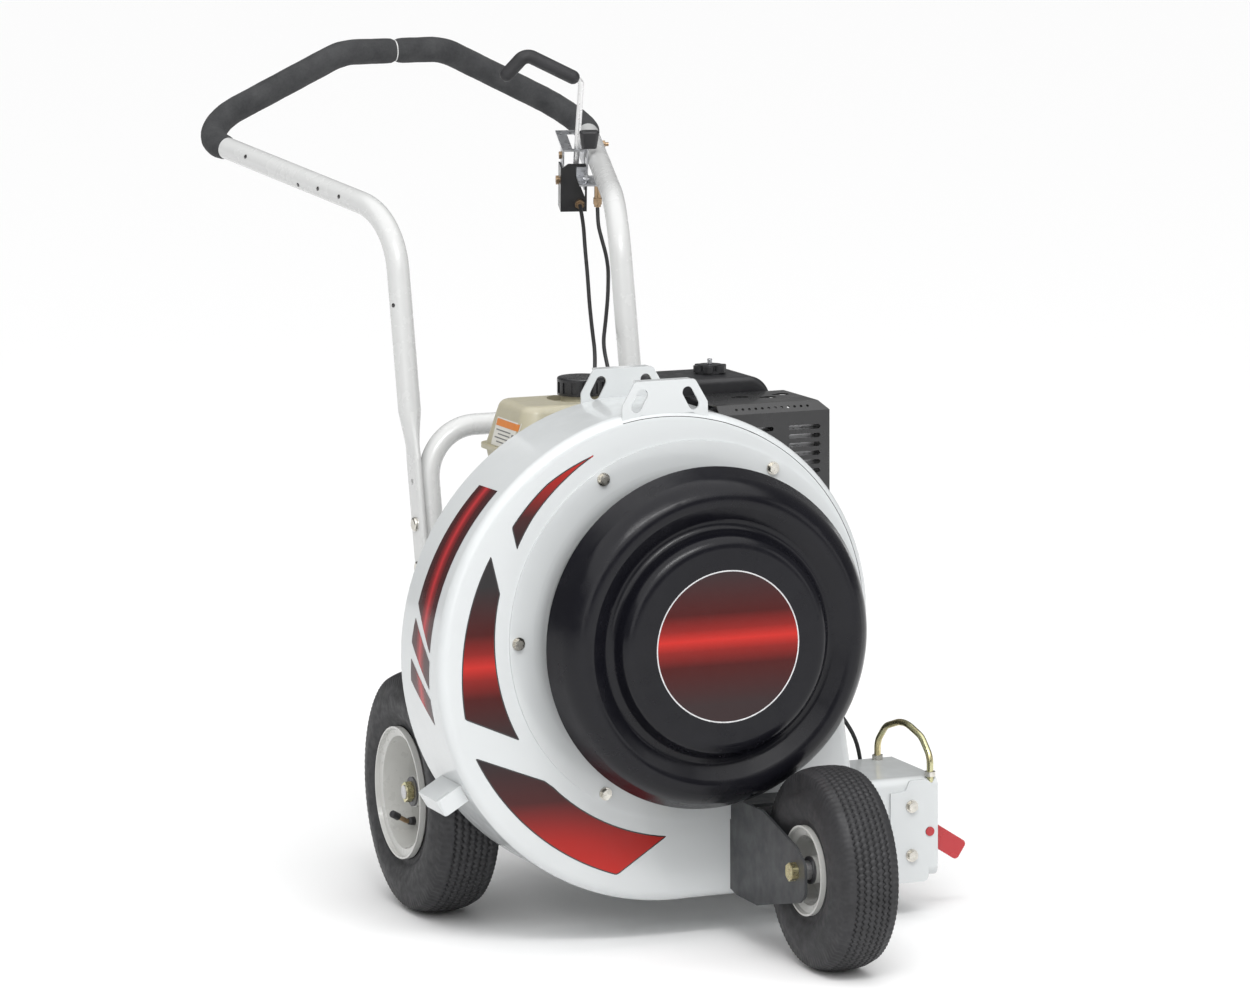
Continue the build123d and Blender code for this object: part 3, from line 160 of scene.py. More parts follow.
def scaled(colour, factor):
    return tuple(min(1.0, c * factor) for c in colour)


def paint(name, colour, rough=0.22, orange_peel=0.04, coat=0.3, dust=0.03, metallic=0.0, shine=0.5):
    """Sprayed paint: a faint orange peel, a little shade drift and dusty patches."""
    n = Nodes(name)
    drift = n.noise(6.0, 3.0)
    n.put(Base_Color=n.ramp(drift, [(0.3, scaled(colour, 1 - dust)), (0.7, scaled(colour, 1 + dust))]))
    n.put(Roughness=n.spread(n.noise(38.0, 5.0), rough * 0.8, rough * 1.3), Metallic=metallic)
    n.put(Coat_Weight=coat, Coat_Roughness=0.06, Specular_IOR_Level=shine)
    n.put(Normal=n.bump(n.noise(420.0, 2.0), orange_peel, 0.0004).outputs["Normal"])
    return n.material


def metal(name, colour, rough=0.3, streak=(1, 1, 1), stain=0.12, metallic=1.0, dents=0.06):
    """Bare or plated metal with brushed streaks, stains and small dents."""
    n = Nodes(name)
    patches = n.noise(55.0, 6.0)
    n.put(Base_Color=n.ramp(patches, [(0.3, scaled(colour, 1 - stain)), (0.7, scaled(colour, 1 + stain))]))
    streaks = n.noise(160.0, 4.0, stretch=streak)
    n.put(Metallic=metallic, Roughness=n.spread(streaks, rough * 0.7, rough * 1.4))
    n.put(Normal=n.bump(n.noise(700.0, 3.0, stretch=streak), dents, 0.0003).outputs["Normal"])
    return n.material


def plastic(name, colour, rough=0.45, grain=0.25, scale=1500.0):
    """Moulded plastic with a fine grain and handling marks."""
    n = Nodes(name)
    marks = n.noise(20.0, 5.0)
    n.put(Base_Color=n.ramp(marks, [(0.3, scaled(colour, 0.85)), (0.7, scaled(colour, 1.15))]))
    n.put(Roughness=n.spread(n.noise(60.0, 5.0), rough * 0.8, rough * 1.25))
    n.put(Normal=n.bump(n.noise(scale, 2.0), grain, 0.0002).outputs["Normal"])
    return n.material


def zinc_yellow(name):
    """Yellow chromate zinc: gold with green and rose tints."""
    n = Nodes(name)
    tint = n.ramp(n.noise(28.0, 2.0), [(0.25, (0.56, 0.47, 0.25)), (0.45, (0.64, 0.56, 0.32)),
                                      (0.6, (0.56, 0.55, 0.33)), (0.75, (0.60, 0.47, 0.32))])
    n.put(Base_Color=tint, Metallic=1.0, Roughness=n.spread(n.noise(200.0), 0.18, 0.36))
    n.put(Normal=n.bump(n.noise(600.0, 3.0), 0.04, 0.0001).outputs["Normal"])
    return n.material


def rubber(name, colour=(0.0145, 0.0145, 0.0160), rough=0.62):
    """Tyre rubber: soft sheen, mould skin and grey dust."""
    n = Nodes(name)
    n.put(Base_Color=n.ramp(n.noise(24.0, 6.0, 0.65), [(0.35, colour), (0.75, scaled(colour, 1.9))]))
    n.put(Roughness=n.spread(n.noise(90.0, 5.0), rough * 0.85, rough * 1.15))
    n.put(Normal=n.bump(n.noise(900.0, 4.0), 0.3, 0.0003).outputs["Normal"])
    return n.material


def foam(name):
    """Closed-cell foam: dark, dull and finely pitted."""
    n = Nodes(name)
    cells = n.add("ShaderNodeTexVoronoi")
    cells.inputs["Scale"].default_value = 900.0
    n.link(n.coords.outputs["Object"], cells.inputs["Vector"])
    shade = n.noise(35.0, 6.0)
    n.put(Base_Color=n.ramp(shade, [(0.3, (0.030, 0.031, 0.033)), (0.7, (0.052, 0.053, 0.055))]))
    n.put(Roughness=n.spread(n.noise(300.0, 3.0), 0.82, 0.95))
    n.put(Normal=n.bump(cells.outputs["Distance"], 0.5, 0.0006).outputs["Normal"])
    return n.material


def cast(name, colour=(0.52, 0.53, 0.54)):
    """Die-cast aluminium with a rough skin."""
    n = Nodes(name)
    patches = n.noise(45.0, 6.0)
    n.put(Base_Color=n.ramp(patches, [(0.3, scaled(colour, 0.8)), (0.7, scaled(colour, 1.1))]))
    n.put(Metallic=0.85, Roughness=n.spread(n.noise(120.0, 4.0), 0.42, 0.62))
    n.put(Normal=n.bump(n.noise(850.0, 4.0), 0.45, 0.0005).outputs["Normal"])
    return n.material


def tank_plastic(name):
    """Cream tank plastic, slightly see-through, darker towards the bottom."""
    n = Nodes(name)
    height = n.spread(n.axis("Z"), 0.0, 1.0, 0.58, 0.70)
    n.put(Base_Color=n.ramp(height, [(0.0, (0.33, 0.30, 0.20)), (0.55, (0.41, 0.38, 0.27)),
                                     (1.0, (0.45, 0.42, 0.32))]))
    n.put(Roughness=n.spread(n.noise(50.0, 4.0), 0.28, 0.42))
    n.put(Subsurface_Weight=0.12, Subsurface_Radius=(0.02, 0.018, 0.012))
    n.put(Normal=n.bump(n.noise(500.0, 3.0), 0.12, 0.0003).outputs["Normal"])
    return n.material


def band_decal(name, axis, centre, half, low_dark=(0.022, 0.020, 0.021), red=(0.48, 0.020, 0.014)):
    """Printed film: black with a red glow about one coordinate, in metres."""
    n = Nodes(name)
    place = n.spread(n.axis(axis), 0.0, 1.0, centre - half, centre + half)
    mid = scaled(red, 0.45)
    colour = n.ramp(place, [(0.0, low_dark), (0.30, scaled(red, 0.12)), (0.42, mid), (0.5, red), (0.58, mid),
                            (0.70, scaled(red, 0.12)), (1.0, low_dark)])
    n.put(Base_Color=colour, Roughness=n.spread(n.noise(60.0, 4.0), 0.16, 0.26), Specular_IOR_Level=0.25)
    n.put(Normal=n.bump(n.noise(800.0, 2.0), 0.03, 0.0002).outputs["Normal"])
    return n.material


def fade_decal(name, axis, start, end, stops):
    """Printed film that fades along one coordinate, in metres."""
    n = Nodes(name)
    place = n.spread(n.axis(axis), 0.0, 1.0, start, end)
    n.put(Base_Color=n.ramp(place, stops))
    n.put(Roughness=n.spread(n.noise(60.0, 4.0), 0.16, 0.26), Specular_IOR_Level=0.25)
    n.put(Normal=n.bump(n.noise(800.0, 2.0), 0.03, 0.0002).outputs["Normal"])
    return n.material


WHITE = (0.60, 0.62, 0.625)
M = {
    "white": paint("white_paint", WHITE, rough=0.20, dust=0.02),
    "cream": paint("handle_paint", (0.60, 0.605, 0.60), rough=0.24, dust=0.02),
    "dome": paint("dome_black", (0.0055, 0.0055, 0.0080), rough=0.22, coat=0.0, orange_peel=0.03,
                  dust=0.15, shine=0.26),
    "fork": paint("fork_grey", (0.036, 0.038, 0.041), rough=0.46, orange_peel=0.14, coat=0.1, dust=0.08),
    "black": paint("bracket_black", (0.012, 0.012, 0.013), rough=0.34, orange_peel=0.10, coat=0.2,
                   dust=0.12),
    "muffler": paint("shield_black", (0.016, 0.016, 0.017), rough=0.30, orange_peel=0.08,
                     coat=0.35, dust=0.12),
    "red": paint("lever_red", (0.42, 0.016, 0.022), rough=0.26, dust=0.06),
    "rim": paint("rim_paint", (0.50, 0.50, 0.48), rough=0.30, dust=0.04),
    "rotor": paint("fan_paint", (0.035, 0.035, 0.036), rough=0.40, coat=0.1, dust=0.2),
    "zinc": metal("zinc_plate", (0.52, 0.53, 0.55), rough=0.36, stain=0.06, dents=0.02),
    "rod": metal("plated_rod", (0.78, 0.78, 0.78), rough=0.34, stain=0.05, metallic=0.6),
    "steel": metal("turned_steel", (0.50, 0.50, 0.51), rough=0.34, streak=(1, 1, 6)),
    "bolt": metal("bolt_steel", (0.62, 0.60, 0.55), rough=0.26, stain=0.2),
    "yellow": zinc_yellow("yellow_zinc"),
    "brass": metal("adjuster_brass", (0.34, 0.24, 0.15), rough=0.36, stain=0.3),
    "cast": cast("cast_aluminium"),
    "iron": cast("cast_iron", (0.16, 0.16, 0.17)),
    "tyre": rubber("tyre_rubber"),
    "foam": foam("grip_foam"),
    "grip": plastic("lever_sleeve", (0.020, 0.020, 0.022), rough=0.55, grain=0.4, scale=900.0),
    "plastic": plastic("black_plastic", (0.018, 0.018, 0.020), rough=0.40),
    "gloss_plastic": plastic("cap_plastic", (0.016, 0.016, 0.018), rough=0.26, grain=0.1),
    "cable": plastic("cable_jacket", (0.014, 0.014, 0.015), rough=0.38, grain=0.15),
    "tank": tank_plastic("tank_plastic"),
}


def dress(name, *nodes):
    """Gives CAD nodes a material."""
    for node in nodes:
        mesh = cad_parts[node].data
        mesh.materials.clear()
        mesh.materials.append(M[name])


dress("white", "scroll_housing", "back_plate", "inlet_ring", "lift_brackets", "tie_down_bracket",
      "outlet_side_plate", "engine_deck")
dress("cream", "hoop_frame", "handle")
dress("dome", "inlet_dome")
dress("fork", "front_fork")
dress("black", "cable_bracket")
dress("muffler", "muffler_shield")
dress("red", "stream_vane")
dress("rim", "rear_rim_left", "rear_rim_right", "front_rim")
dress("rotor", "impeller")
dress("zinc", "inlet_guard", "control_bracket", "throttle_base", "throttle_lever")
dress("rod", "deflector_lever")
dress("iron", "flywheel", "rear_bearings_left", "rear_bearings_right", "front_bearings")
dress("steel", "crankshaft", "rear_axle", "axle_collars", "muffler", "impeller_bolt", "engine_bolts")
dress("bolt", "inlet_fasteners", "housing_fasteners", "handle_fasteners")
dress("yellow", "outlet_hoop", "axle_nuts", "front_axle")
dress("brass", "control_fasteners")
dress("cast", "crankcase", "cylinder", "carburetor")
dress("tyre", "rear_tyre_left", "rear_tyre_right", "front_tyre")
dress("foam", "foam_grip")
dress("grip", "lever_grip")
dress("plastic", "fan_cover", "recoil_cover", "starter_grip", "air_cleaner_base", "air_cleaner_cover",
      "air_cleaner_knob", "engine_switch", "throttle_knob")
dress("gloss_plastic", "fuel_cap")
dress("cable", "deflector_cable", "throttle_cable")
dress("tank", "fuel_tank")


# ---------------------------------------------------------------- mesh helpers
def mesh_object(name, vertices, faces, material, body="chassis", smooth=True):
    """A piece from row-frame vertices, riding a CAD body."""
    mesh = bpy.data.meshes.new(name)
    mesh.from_pydata([tuple(v) for v in vertices], [], faces)
    mesh.update()
    mesh.materials.append(M[material] if isinstance(material, str) else material)
    if smooth:
        mesh.shade_smooth()
    piece = bpy.data.objects.new(name, mesh)
    bpy.context.scene.collection.objects.link(piece)
    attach(piece, body)
    return piece


def grid_faces(rows, columns, closed_rows=False, closed_columns=False):
    """Quads of a grid of vertices, optionally joined round on itself."""
    faces = []
    for row in range(rows if closed_rows else rows - 1):
        for column in range(columns if closed_columns else columns - 1):
            below = (row + 1) % rows
            beside = (column + 1) % columns
            faces.append((row * columns + column, row * columns + beside, below * columns + beside,
                          below * columns + column))
    return faces


def filleted(points, radii, step=0.05):
    """Points of a path of straight runs joined by arcs, in the units given; step is radians per point."""
    points = [Vector(p) for p in points]
    path = [points[0]]
    for before, corner, after, radius in zip(points, points[1:], points[2:], radii):
        a = (before - corner).normalized()
        b = (after - corner).normalized()
        half = a.angle(b) / 2
        centre = corner + (a + b).normalized() * (radius / sin(half))
        start = corner + a * (radius / tan(half)) - centre
        turn = pi - 2 * half
        side = (-a).cross(b).normalized()
        count = max(3, int(turn / step))
        for index in range(count + 1):
            path.append(centre + Matrix.Rotation(turn * index / count, 3, side) @ start)
    path.append(points[-1])
    return path


def tube(name, path, radius, material, body="chassis", sides=24, caps=True):
    """A round tube along a path in row-frame metres; radius is one number or one per point."""
    radii = radius if isinstance(radius, list) else [radius] * len(path)
    vertices = []
    previous = None
    for index, point in enumerate(path):
        ahead = path[min(index + 1, len(path) - 1)] - path[max(index - 1, 0)]
        ahead.normalize()
        if previous is None:
            side = ahead.orthogonal().normalized()
        else:
            side = (previous - ahead * previous.dot(ahead)).normalized()
        previous = side
        up = ahead.cross(side)
        for k in range(sides):
            turn = 2 * pi * k / sides
            vertices.append(point + (side * cos(turn) + up * sin(turn)) * radii[index])
    faces = grid_faces(len(path), sides, closed_columns=True)
    if caps:
        faces.append(tuple(reversed(range(sides))))
        faces.append(tuple(range(len(vertices) - sides, len(vertices))))
    return mesh_object(name, vertices, faces, material, body)


# ---------------------------------------------------------------- tyres
def tyre_profile(radius, half, bead):
    """Half section from the crown's middle to the bead: (x, radius) in millimetres."""
    tall = radius - bead
    shape = ((0.90, 0.30), (0.975, 0.42), (0.985, 0.52), (0.97, 0.64), (0.91, 0.76), (0.905, 0.785),
             (0.84, 0.85), (0.80, 0.90), (0.815, 0.93))
    return [(half * x, radius - tall * r) for x, r in shape] + [(half * 0.80, bead + 1.5), (half * 0.74, bead)]


def crown_radius(x, radius, half):
    """Height of the tread at a distance from the middle plane."""
    return radius - 0.115 * half * (abs(x) / (half * 0.72)) ** 2.6


def tread_tyre(name, node, centre, radius, width, bead, body, pitch):
    """A ribbed tyre: zigzag grooves round the crown and fine cuts on the shoulders."""
    half = width / 2
    grooves = [-0.50, -0.30, -0.10, 0.10, 0.30, 0.50]
    teeth = int(2 * pi * radius / pitch)
    per_tooth = 4
    steps = teeth * per_tooth
    depth = 3.2
    wide = 1.15
    narrow = wide * 0.45
    sway = 1.9
    sideways = (-1.0, 0.35, 1.0, -0.35)
    shoulder = ((0.83, 1.0), (0.70, 1.3), (0.62, 0.0))  # place across the half width, share of the cut
    vertices = []
    columns = 0
    for index in range(steps):
        turn = 2 * pi * index / steps
        phase = index % per_tooth
        row = []
        outer = tyre_profile(radius, half, bead)
        row += [(-x, r) for x, r in reversed(outer)]
        cut = 0.9 if phase < 2 else 0.0
        sides = [(half * x, crown_radius(half * x, radius, half) - cut * share) for x, share in shoulder]
        row += [(-x, r) for x, r in sides]
        for place, groove in enumerate(grooves):
            flip = 1 if place % 2 else -1
            x = groove * half + sideways[phase] * sway * flip
            high = crown_radius(x, radius, half)
            row += [(x - wide, high), (x - narrow, high - depth), (x + narrow, high - depth), (x + wide, high)]
        row += list(reversed(sides)) + outer
        columns = len(row)
        for x, r in row:
            vertices.append(at(centre[0] + x, centre[1] + r * cos(turn), centre[2] + r * sin(turn)))
    piece = mesh_object(name, vertices, grid_faces(steps, columns, closed_rows=True), "tyre", body)
    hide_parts(node)
    return piece


REAR = (244.7, 315.0, 165.0)
FRONT = (110.0, -211.0, 132.5)
for side, word in ((-1, "left"), (1, "right")):
    centre = (side * REAR[0], REAR[1], REAR[2])
    tread_tyre(f"rear_tyre_tread_{word}", f"rear_tyre_{word}", centre, 164.6, 97.0, 87.0,
               f"rear_wheel_{word}", 9.0)
tread_tyre("front_tyre_tread", "front_tyre", FRONT, 132.1, 87.0, 56.0, "front_wheel", 8.2)


def valve(name, base, knee, tip, body):
    """A bent tyre valve: rubber foot, brass stem and a black cap."""
    base, knee, tip = Vector(base), Vector(knee), Vector(tip)
    path = filleted([at(*base), at(*knee), at(*tip)], [0.006])
    tube(name + "_stem", path, 0.0033, "brass", body, sides=14)
    foot = (knee - base).normalized()
    tube(name + "_foot", [at(*base), at(*(base + foot * 9))], [0.0062, 0.0048], "plastic", body, sides=16)
    out = (tip - knee).normalized()
    cap = [at(*(tip - out * 10)), at(*(tip - out * 9)), at(*(tip + out * 3)), at(*(tip + out * 4.5))]
    tube(name + "_cap", cap, [0.0040, 0.0052, 0.0050, 0.0036], "plastic", body, sides=16)


valve("valve_left", (-257, 351, 116), (-268, 350, 117), (-289, 344, 129), "rear_wheel_left")
valve("valve_right", (257, 351, 116), (268, 350, 117), (289, 344, 129), "rear_wheel_right")


# ---------------------------------------------------------------- foam grip
def foam_sleeve():
    """Two foam sleeves meeting at the middle of the top bar, with soft rounded ends."""
    knee, side_corner, top_corner = (Vector(p) for p in ((167.4, 651.8, 908.5), (307.4, 1133.0, 992.2),
                                                        (78.4, 1114.3, 1104.3)))
    mirror = Vector((-1, 1, 1))
    start = side_corner + (knee - side_corner).normalized() * 96
    half = [start, side_corner, top_corner]
    points = half + [p * mirror for p in reversed(half)]
    path = filleted(points, [62.0, 90.0, 90.0, 62.0])
    dense = []
    for a, b in zip(path, path[1:]):
        count = max(1, int((b - a).length / 6))
        dense += [a.lerp(b, k / count) for k in range(count)]
    dense.append(path[-1])
    middle = min(range(len(dense)), key=lambda k: abs(dense[k].x))
    for word, line in (("right", dense[:middle + 1]), ("left", dense[middle:])):
        line = [p.copy() for p in line]
        if word == "right":
            line[-1] += (line[-2] - line[-1]).normalized() * 0.6
        else:
            line[0] += (line[1] - line[0]).normalized() * 0.6
        count = len(line)
        radii = []
        for k in range(count):
            edge = min(k, count - 1 - k)
            soft = (0.85, 0.96, 0.99)[edge] if edge < 3 else 1.0
            radii.append(0.0187 * soft * (1 + 0.006 * sin(k * 0.9) + 0.006 * random.uniform(-1, 1)))
        first = line[0] + (line[0] - line[1]).normalized() * 1.5
        last = line[-1] + (line[-1] - line[-2]).normalized() * 0.4
        line = [first] + line + [last]
        radii = [0.0150] + radii + [0.0150]
        piece = tube(f"foam_sleeve_{word}", [at(*p) for p in line], radii, "foam", sides=32)
        if word == "right":
            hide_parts("foam_grip")


foam_sleeve()


def lever_sleeve():
    """The soft sleeve over the bent end of the deflector lever, with rounded ends."""
    knee, side_corner = Vector((167.4, 651.8, 908.5)), Vector((307.4, 1133.0, 992.2))
    along = (side_corner - knee).normalized()
    arm_up = (Vector((0, 0, 1)) - along * along.z).normalized()
    inward = arm_up.cross(along)

    def on_arm(y, z):
        return knee + along * 298 + inward * y + arm_up * z

    elbow, bend, end = on_arm(22, 108), on_arm(104, 150), on_arm(133, 118)
    start = elbow + (bend - elbow).normalized() * 5
    tip = end + (end - bend).normalized() * 7
    path = filleted([start, bend, tip], [16.0])
    dense = []
    for a, b in zip(path, path[1:]):
        count = max(1, int((b - a).length / 2))
        dense += [a.lerp(b, k / count) for k in range(count)]
    dense.append(path[-1])
    ends = (0.45, 0.72, 0.86, 0.95, 0.99)
    radii = []
    for k in range(len(dense)):
        edge = min(k, len(dense) - 1 - k)
        radii.append(0.0103 * (ends[edge] if edge < len(ends) else 1.0))
    piece = tube("lever_sleeve", [at(*p) for p in dense], radii, "grip", "deflector_hand_lever", sides=32)
    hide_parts("lever_grip")


lever_sleeve()


# ---------------------------------------------------------------- printed films
def polar(angle, radius):
    """A point of the front plate about the fan axis, as (x, z) in millimetres."""
    return Vector((radius * cos(radians(angle)), FAN_Z + radius * sin(radians(angle))))


def arc(start, end, count=14):
    """Points between two (angle, radius) pairs, without the last."""
    line = []
    for k in range(count):
        t = k / count
        line.append(polar(start[0] + (end[0] - start[0]) * t, start[1] + (end[1] - start[1]) * t))
    return line


def inset(points, distance):
    """The polygon moved inwards by a distance, for a printed outline."""
    area = sum(a.x * b.y - b.x * a.y for a, b in zip(points, points[1:] + points[:1]))
    sign = 1 if area > 0 else -1
    moved = []
    count = len(points)
    for k, point in enumerate(points):
        ahead = (points[(k + 1) % count] - point).normalized()
        behind = (point - points[k - 1]).normalized()
        middle = (ahead + behind).normalized()
        normal = Vector((-middle.y, middle.x)) * sign
        moved.append(point + normal * distance)
    return moved


def film(name, outline, y, material):
    """A flat printed film on a plane facing -Y, cut into triangles."""
    count = len(outline)
    edges = [(k, (k + 1) % count) for k in range(count)]
    points, _, faces, _, _, _ = delaunay_2d_cdt(outline, edges, [], 1, 1e-4)
    vertices = [at(p.x, y, p.y) for p in points]
    turned = []
    for face in faces:
        a, b, c = (points[k] for k in face)
        left_turn = (b - a).cross(c - a) > 0
        turned.append(tuple(face) if left_turn else tuple(reversed(face)))
    return mesh_object(name, vertices, turned, material, smooth=False)


def soften(points, flags, size=5.0):
    """Rounds the flagged corners of a polygon."""
    out = []
    count = len(points)
    for k, point in enumerate(points):
        if k not in flags:
            out.append(point)
            continue
        before, after = points[k - 1], points[(k + 1) % count]
        a = point + (before - point).normalized() * min(size, (before - point).length * 0.4)
        b = point + (after - point).normalized() * min(size, (after - point).length * 0.4)
        for t in (0.0, 0.25, 0.5, 0.75, 1.0):
            out.append(a * (1 - t) ** 2 + point * (2 * t * (1 - t)) + b * t ** 2)
    return out


# Black for the printed film edges, also used as painted shade for the fold's shade line and the hole discs.
INK_AND_SHADE_BLACK = (0.018, 0.016, 0.017)
RED_INK = (0.46, 0.020, 0.015)
ink_and_shade_black = paint("film_edge_and_shade_black", INK_AND_SHADE_BLACK, rough=0.2, orange_peel=0.02)

middle = arc((156.9, 298.6), (172.4, 308.5)) + arc((172.4, 308.5), (184.9, 317.3))
middle += arc((184.9, 317.3), (196.8, 326.7))
middle += [polar(196.8, 326.7)] + arc((208.3, 269.5), (165.8, 271.0), 24) + [polar(165.8, 271.0)]
top = arc((118.7, 272.9), (133.7, 284.5)) + arc((133.7, 284.5), (148.3, 289.0)) + [polar(148.3, 289.0)]
top += arc((152.9, 268.4), (143.5, 270.3)) + arc((143.5, 270.3), (129.8, 270.6))
top += arc((129.8, 270.6), (119.0, 271.8))
lower = arc((205.9, 333.0), (252.0, 334.0), 30) + [polar(252.0, 334.0)]
lower += arc((263.3, 273.4), (223.6, 271.5), 26) + [polar(222.0, 274.0)]

middle_ink = band_decal("film_middle", "Z", 0.389, 0.105)
top_ink = fade_decal("film_top", "Z", 0.54, 0.655, [
    (0.0, INK_AND_SHADE_BLACK), (0.35, (0.05, 0.012, 0.012)), (0.75, scaled(RED_INK, 0.7)), (1.0, RED_INK)])
lower_ink = fade_decal("film_lower", "Z", 0.10, 0.27, [
    (0.0, RED_INK), (0.30, scaled(RED_INK, 0.75)), (0.62, (0.06, 0.012, 0.012)), (1.0, INK_AND_SHADE_BLACK)])
for name, outline, corners, fill in (("film_middle", middle, (0, 42, 43), middle_ink),
                                     ("film_top", top, (0, 28, 29), top_ink),
                                     ("film_lower", lower, (0, 30, 31), lower_ink)):
    outline = soften(outline, corners)
    film(name + "_edge", outline, -0.25, ink_and_shade_black)
    film(name + "_print", inset(outline, 1.6), -0.45, fill)


def disc(name, radius, y, material, inner=0.0, steps=96):
    """A flat ring or disc facing -Y about the fan axis."""
    vertices = []
    for k in range(steps):
        turn = 2 * pi * k / steps
        vertices.append(at(radius * cos(turn), y, FAN_Z + radius * sin(turn)))
    if inner:
        for k in range(steps):
            turn = 2 * pi * k / steps
            vertices.append(at(inner * cos(turn), y, FAN_Z + inner * sin(turn)))
        faces = [(k, (k + 1) % steps, steps + (k + 1) % steps, steps + k) for k in range(steps)]
    else:
        faces = [tuple(range(steps))]
    return mesh_object(name, vertices, faces, material, smooth=False)


DOME_FACE = -131.1
disc("badge_ring", 99.5, DOME_FACE - 0.3, metal("badge_silver", (0.72, 0.72, 0.73), rough=0.3), inner=97.8)
badge_ink = band_decal("badge_ink", "Z", 0.427, 0.085, low_dark=(0.030, 0.016, 0.017))
disc("badge_print", 97.8, DOME_FACE - 0.3, badge_ink)


# ---------------------------------------------------------------- film on the scroll's band
def surface(node):
    """A ray tree of a CAD node's surface."""
    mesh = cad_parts[node].data
    return BVHTree.FromPolygons([v.co for v in mesh.vertices], [p.vertices[:] for p in mesh.polygons])


HOUSING_SKIN = surface("scroll_housing")


def on_band(angle, y, lift=0.35):
    """The point of the scroll's band at an angle about the fan axis, lifted off by millimetres."""
    x, z = polar(angle, 420.0)
    far = at(x, y, z)
    axis = at(0, y, FAN_Z)
    hit, _, _, _ = HOUSING_SKIN.ray_cast(far, (axis - far).normalized())
    return hit + (far - axis).normalized() * lift / 1000


def band_patch(name, corners, material, rows=24, columns=6, lift=0.35):
    """A film on the band between four (angle, y) corners: two at the top, then two at the bottom."""
    (a0, a1), (b0, b1), (c0, c1), (d0, d1) = corners
    vertices = []
    for row in range(rows + 1):
        t = row / rows
        left = (a0 + (c0 - a0) * t, a1 + (c1 - a1) * t)
        right = (b0 + (d0 - b0) * t, b1 + (d1 - b1) * t)
        for column in range(columns + 1):
            s = column / columns
            angle = left[0] + (right[0] - left[0]) * s
            vertices.append(on_band(angle, left[1] + (right[1] - left[1]) * s, lift))
    return mesh_object(name, vertices, grid_faces(rows + 1, columns + 1), material)


strip_ink = band_decal("film_strip", "Y", (66 - SHIFT.y) / 1000, 0.046, red=(0.46, 0.025, 0.03))
slash_ink = band_decal("film_slash", "Y", (74 - SHIFT.y) / 1000, 0.044, red=(0.46, 0.025, 0.03))
band_patch("band_strip", ((142.5, 94), (142.3, 30), (172.6, 102), (181.9, 38)), strip_ink)
band_patch("band_slash_upper", ((175.8, 102), (183.7, 38), (181.2, 106), (189.8, 42)), slash_ink)
band_patch("band_slash_lower", ((184.7, 106), (192.0, 42), (189.6, 110), (197.6, 42)), slash_ink)


# ---------------------------------------------------------------- small details
def fold_shade_line():
    """A painted shade line: a thin dark tube where the band's flange laps the front plate, standing in for the
    shading where the flat plate turns into the fold.
    """
    path = []
    for k in range(60):
        angle = 108 - k * 2.3
        hit = on_band(angle, 30.0, 0.0)
        middle = at(0, 30.0, FAN_Z)
        radius = (hit - middle).length * 1000 - 9.0
        x, z = polar(angle, radius)
        path.append(at(x, 1.1, z))
    # painted shade: the dark tube stands in for the shading along the fold's edge
    tube("fold_shade_line", path, 0.0005, ink_and_shade_black, sides=6)


def tank_label():
    """A paper label on the tank's left face: an orange head over a pale field with thin grey bars."""
    skin = surface("fuel_tank")

    def patch(name, y_span, z_span, material, lift):
        columns, rows = 8, 6
        vertices = []
        for row in range(rows + 1):
            for column in range(columns + 1):
                y = y_span[0] + (y_span[1] - y_span[0]) * column / columns
                z = z_span[0] + (z_span[1] - z_span[0]) * row / rows
                hit, normal, _, _ = skin.ray_cast(at(-400, y, z), Vector((1, 0, 0)))
                vertices.append(hit + normal * lift / 1000)
        mesh_object(name, vertices, grid_faces(rows + 1, columns + 1), material)

    paper = paint("label_paper", (0.62, 0.61, 0.56), rough=0.35, coat=0.1)
    orange = paint("label_orange", (0.62, 0.20, 0.035), rough=0.35, coat=0.1)
    grey = paint("label_grey", (0.16, 0.16, 0.16), rough=0.35, coat=0.1)
    patch("label_field", (238, 321), (630, 667), paper, 0.3)
    patch("label_head", (240, 319), (656, 665), orange, 0.5)
    for k in range(4):
        patch(f"label_bar_{k}", (262, 314 - 9 * (k % 2)), (650 - 5 * k, 651.6 - 5 * k), grey, 0.5)
    patch("label_mark", (242, 257), (634, 650), grey, 0.5)


def hole_shade_discs():
    """Small drilled holes in the handle tube, as dark discs on its skin: painted shade for the dark inside of
    each hole.
    """
    skin = surface("handle")
    outside = Vector((-0.39, -0.90, 0.18)).normalized()
    places = ((-267.8, 993.8, 965.8), (-233.5, 864.1, 934.9), (-218.7, 820.3, 932.4), (-204.3, 771.8, 924.6),
              (-175.7, 632.2, 784.8))
    for number, place in enumerate(places):
        hit, normal, _, _ = skin.ray_cast(at(*place) + outside * 0.1, -outside)
        # painted shade: each dark disc stands in for the shade inside a hole
        tube(f"hole_shade_disc_{number}", [hit - normal * 0.0006, hit + normal * 0.0003], 0.0030, ink_and_shade_black, sides=20)


def knob_stud():
    """The threaded end of the air cleaner's stud, standing out of its knob."""
    x, y = 200, 395
    path = [at(x, y, 711 + 0.5 * k) for k in range(15)]
    radii = [0.0032 if k % 2 else 0.0036 for k in range(14)] + [0.0028]
    tube("knob_stud", path, radii, "zinc", sides=20)


fold_shade_line()
tank_label()
hole_shade_discs()
knob_stud()


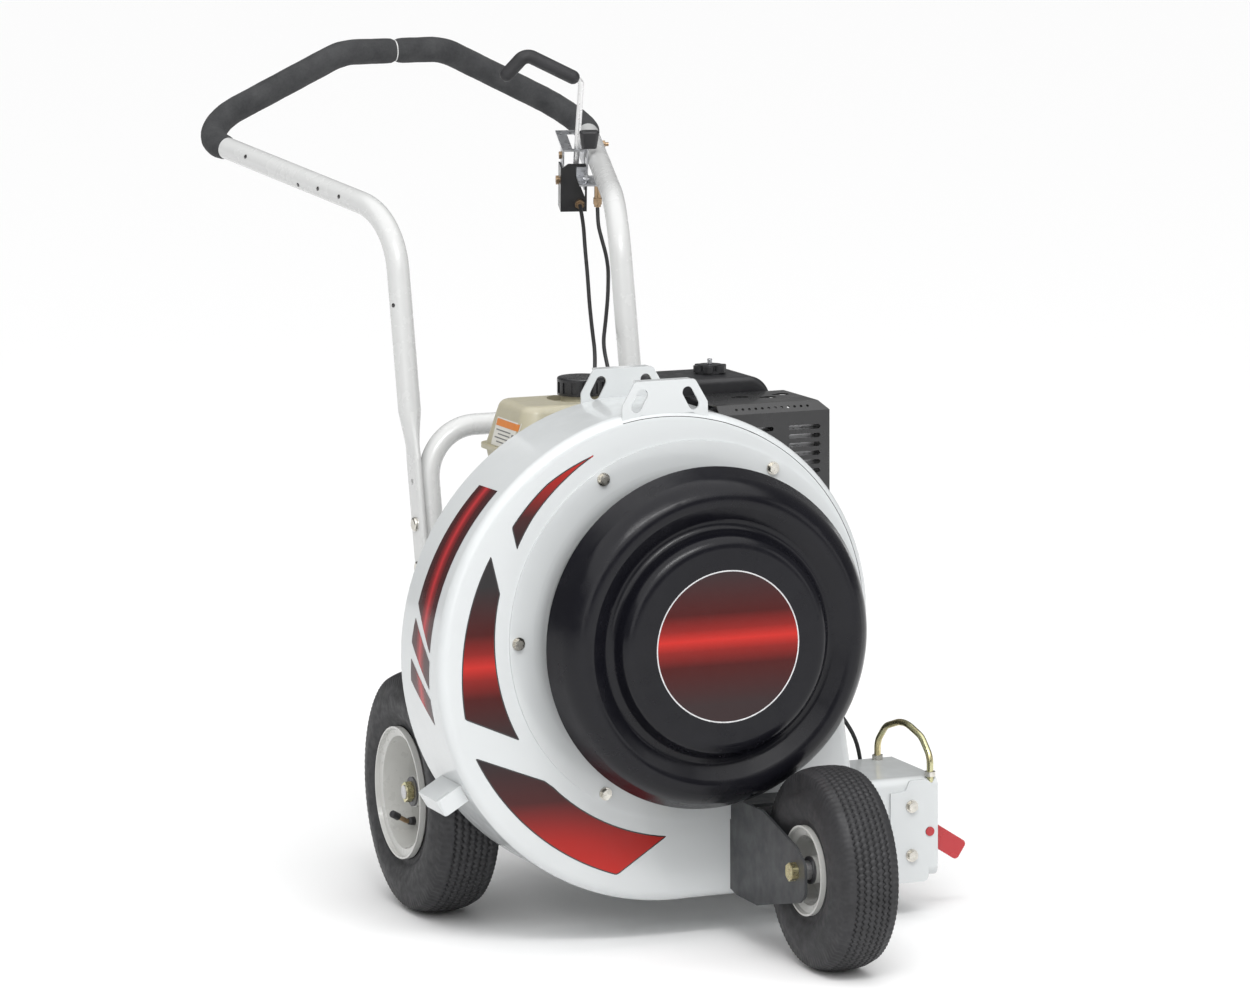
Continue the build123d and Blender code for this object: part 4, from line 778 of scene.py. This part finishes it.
# ---------------------------------------------------------------- stage
def stage():
    """Plain pale floor and soft studio light."""
    mesh = bpy.data.meshes.new("floor")
    size = 45.0
    corners = [(-size, -size, 0), (size, -size, 0), (size, size, 0), (-size, size, 0)]
    mesh.from_pydata(corners, [], [(0, 1, 2, 3)])
    floor = bpy.data.objects.new("floor", mesh)
    bpy.context.scene.collection.objects.link(floor)
    cover = bpy.data.materials.new("floor_cover")
    cover.use_nodes = True
    shader = cover.node_tree.nodes["Principled BSDF"]
    shader.inputs["Base Color"].default_value = (0.96, 0.96, 0.96, 1)
    shader.inputs["Roughness"].default_value = 0.9
    shader.inputs["Specular IOR Level"].default_value = 0.1
    mesh.materials.append(cover)
    world = bpy.data.worlds.new("studio")
    bpy.context.scene.world = world
    world.use_nodes = True
    world.node_tree.nodes["Background"].inputs["Color"].default_value = (1, 1, 1, 1)
    world.node_tree.nodes["Background"].inputs["Strength"].default_value = 0.22


def softbox(name, place, target, size, power):
    light = bpy.data.lights.new(name, "AREA")
    light.shape = "RECTANGLE"
    light.size, light.size_y = size
    light.energy = power
    lamp = bpy.data.objects.new(name, light)
    bpy.context.scene.collection.objects.link(lamp)
    lamp.location = place
    lamp.rotation_mode = "QUATERNION"
    lamp.rotation_quaternion = (Vector(target) - Vector(place)).to_track_quat("-Z", "Y")


def soft_sun(name, place, strength, spread):
    """Very wide sunlight, even over the whole floor."""
    light = bpy.data.lights.new(name, "SUN")
    light.energy = strength
    light.angle = radians(spread)
    lamp = bpy.data.objects.new(name, light)
    bpy.context.scene.collection.objects.link(lamp)
    lamp.rotation_mode = "QUATERNION"
    lamp.rotation_quaternion = (-Vector(place)).to_track_quat("-Z", "Y")


stage()
soft_sun("sky", (-0.15, -0.35, 1.0), 2.75, 100)
softbox("key", (-0.6, -3.3, 3.5), (0, 0, 0.45), (2.4, 1.5), 34)
softbox("strip", (-0.6, -3.15, 3.35), (0, 0, 0.45), (2.0, 0.35), 34)
softbox("front", (-3.0, -4.6, 1.5), (0, 0, 0.45), (2.4, 2.0), 22)
softbox("side", (3.4, -3.2, 1.6), (0, 0, 0.4), (1.4, 2.4), 12)

scene = bpy.context.scene
scene.view_settings.view_transform = "Standard"
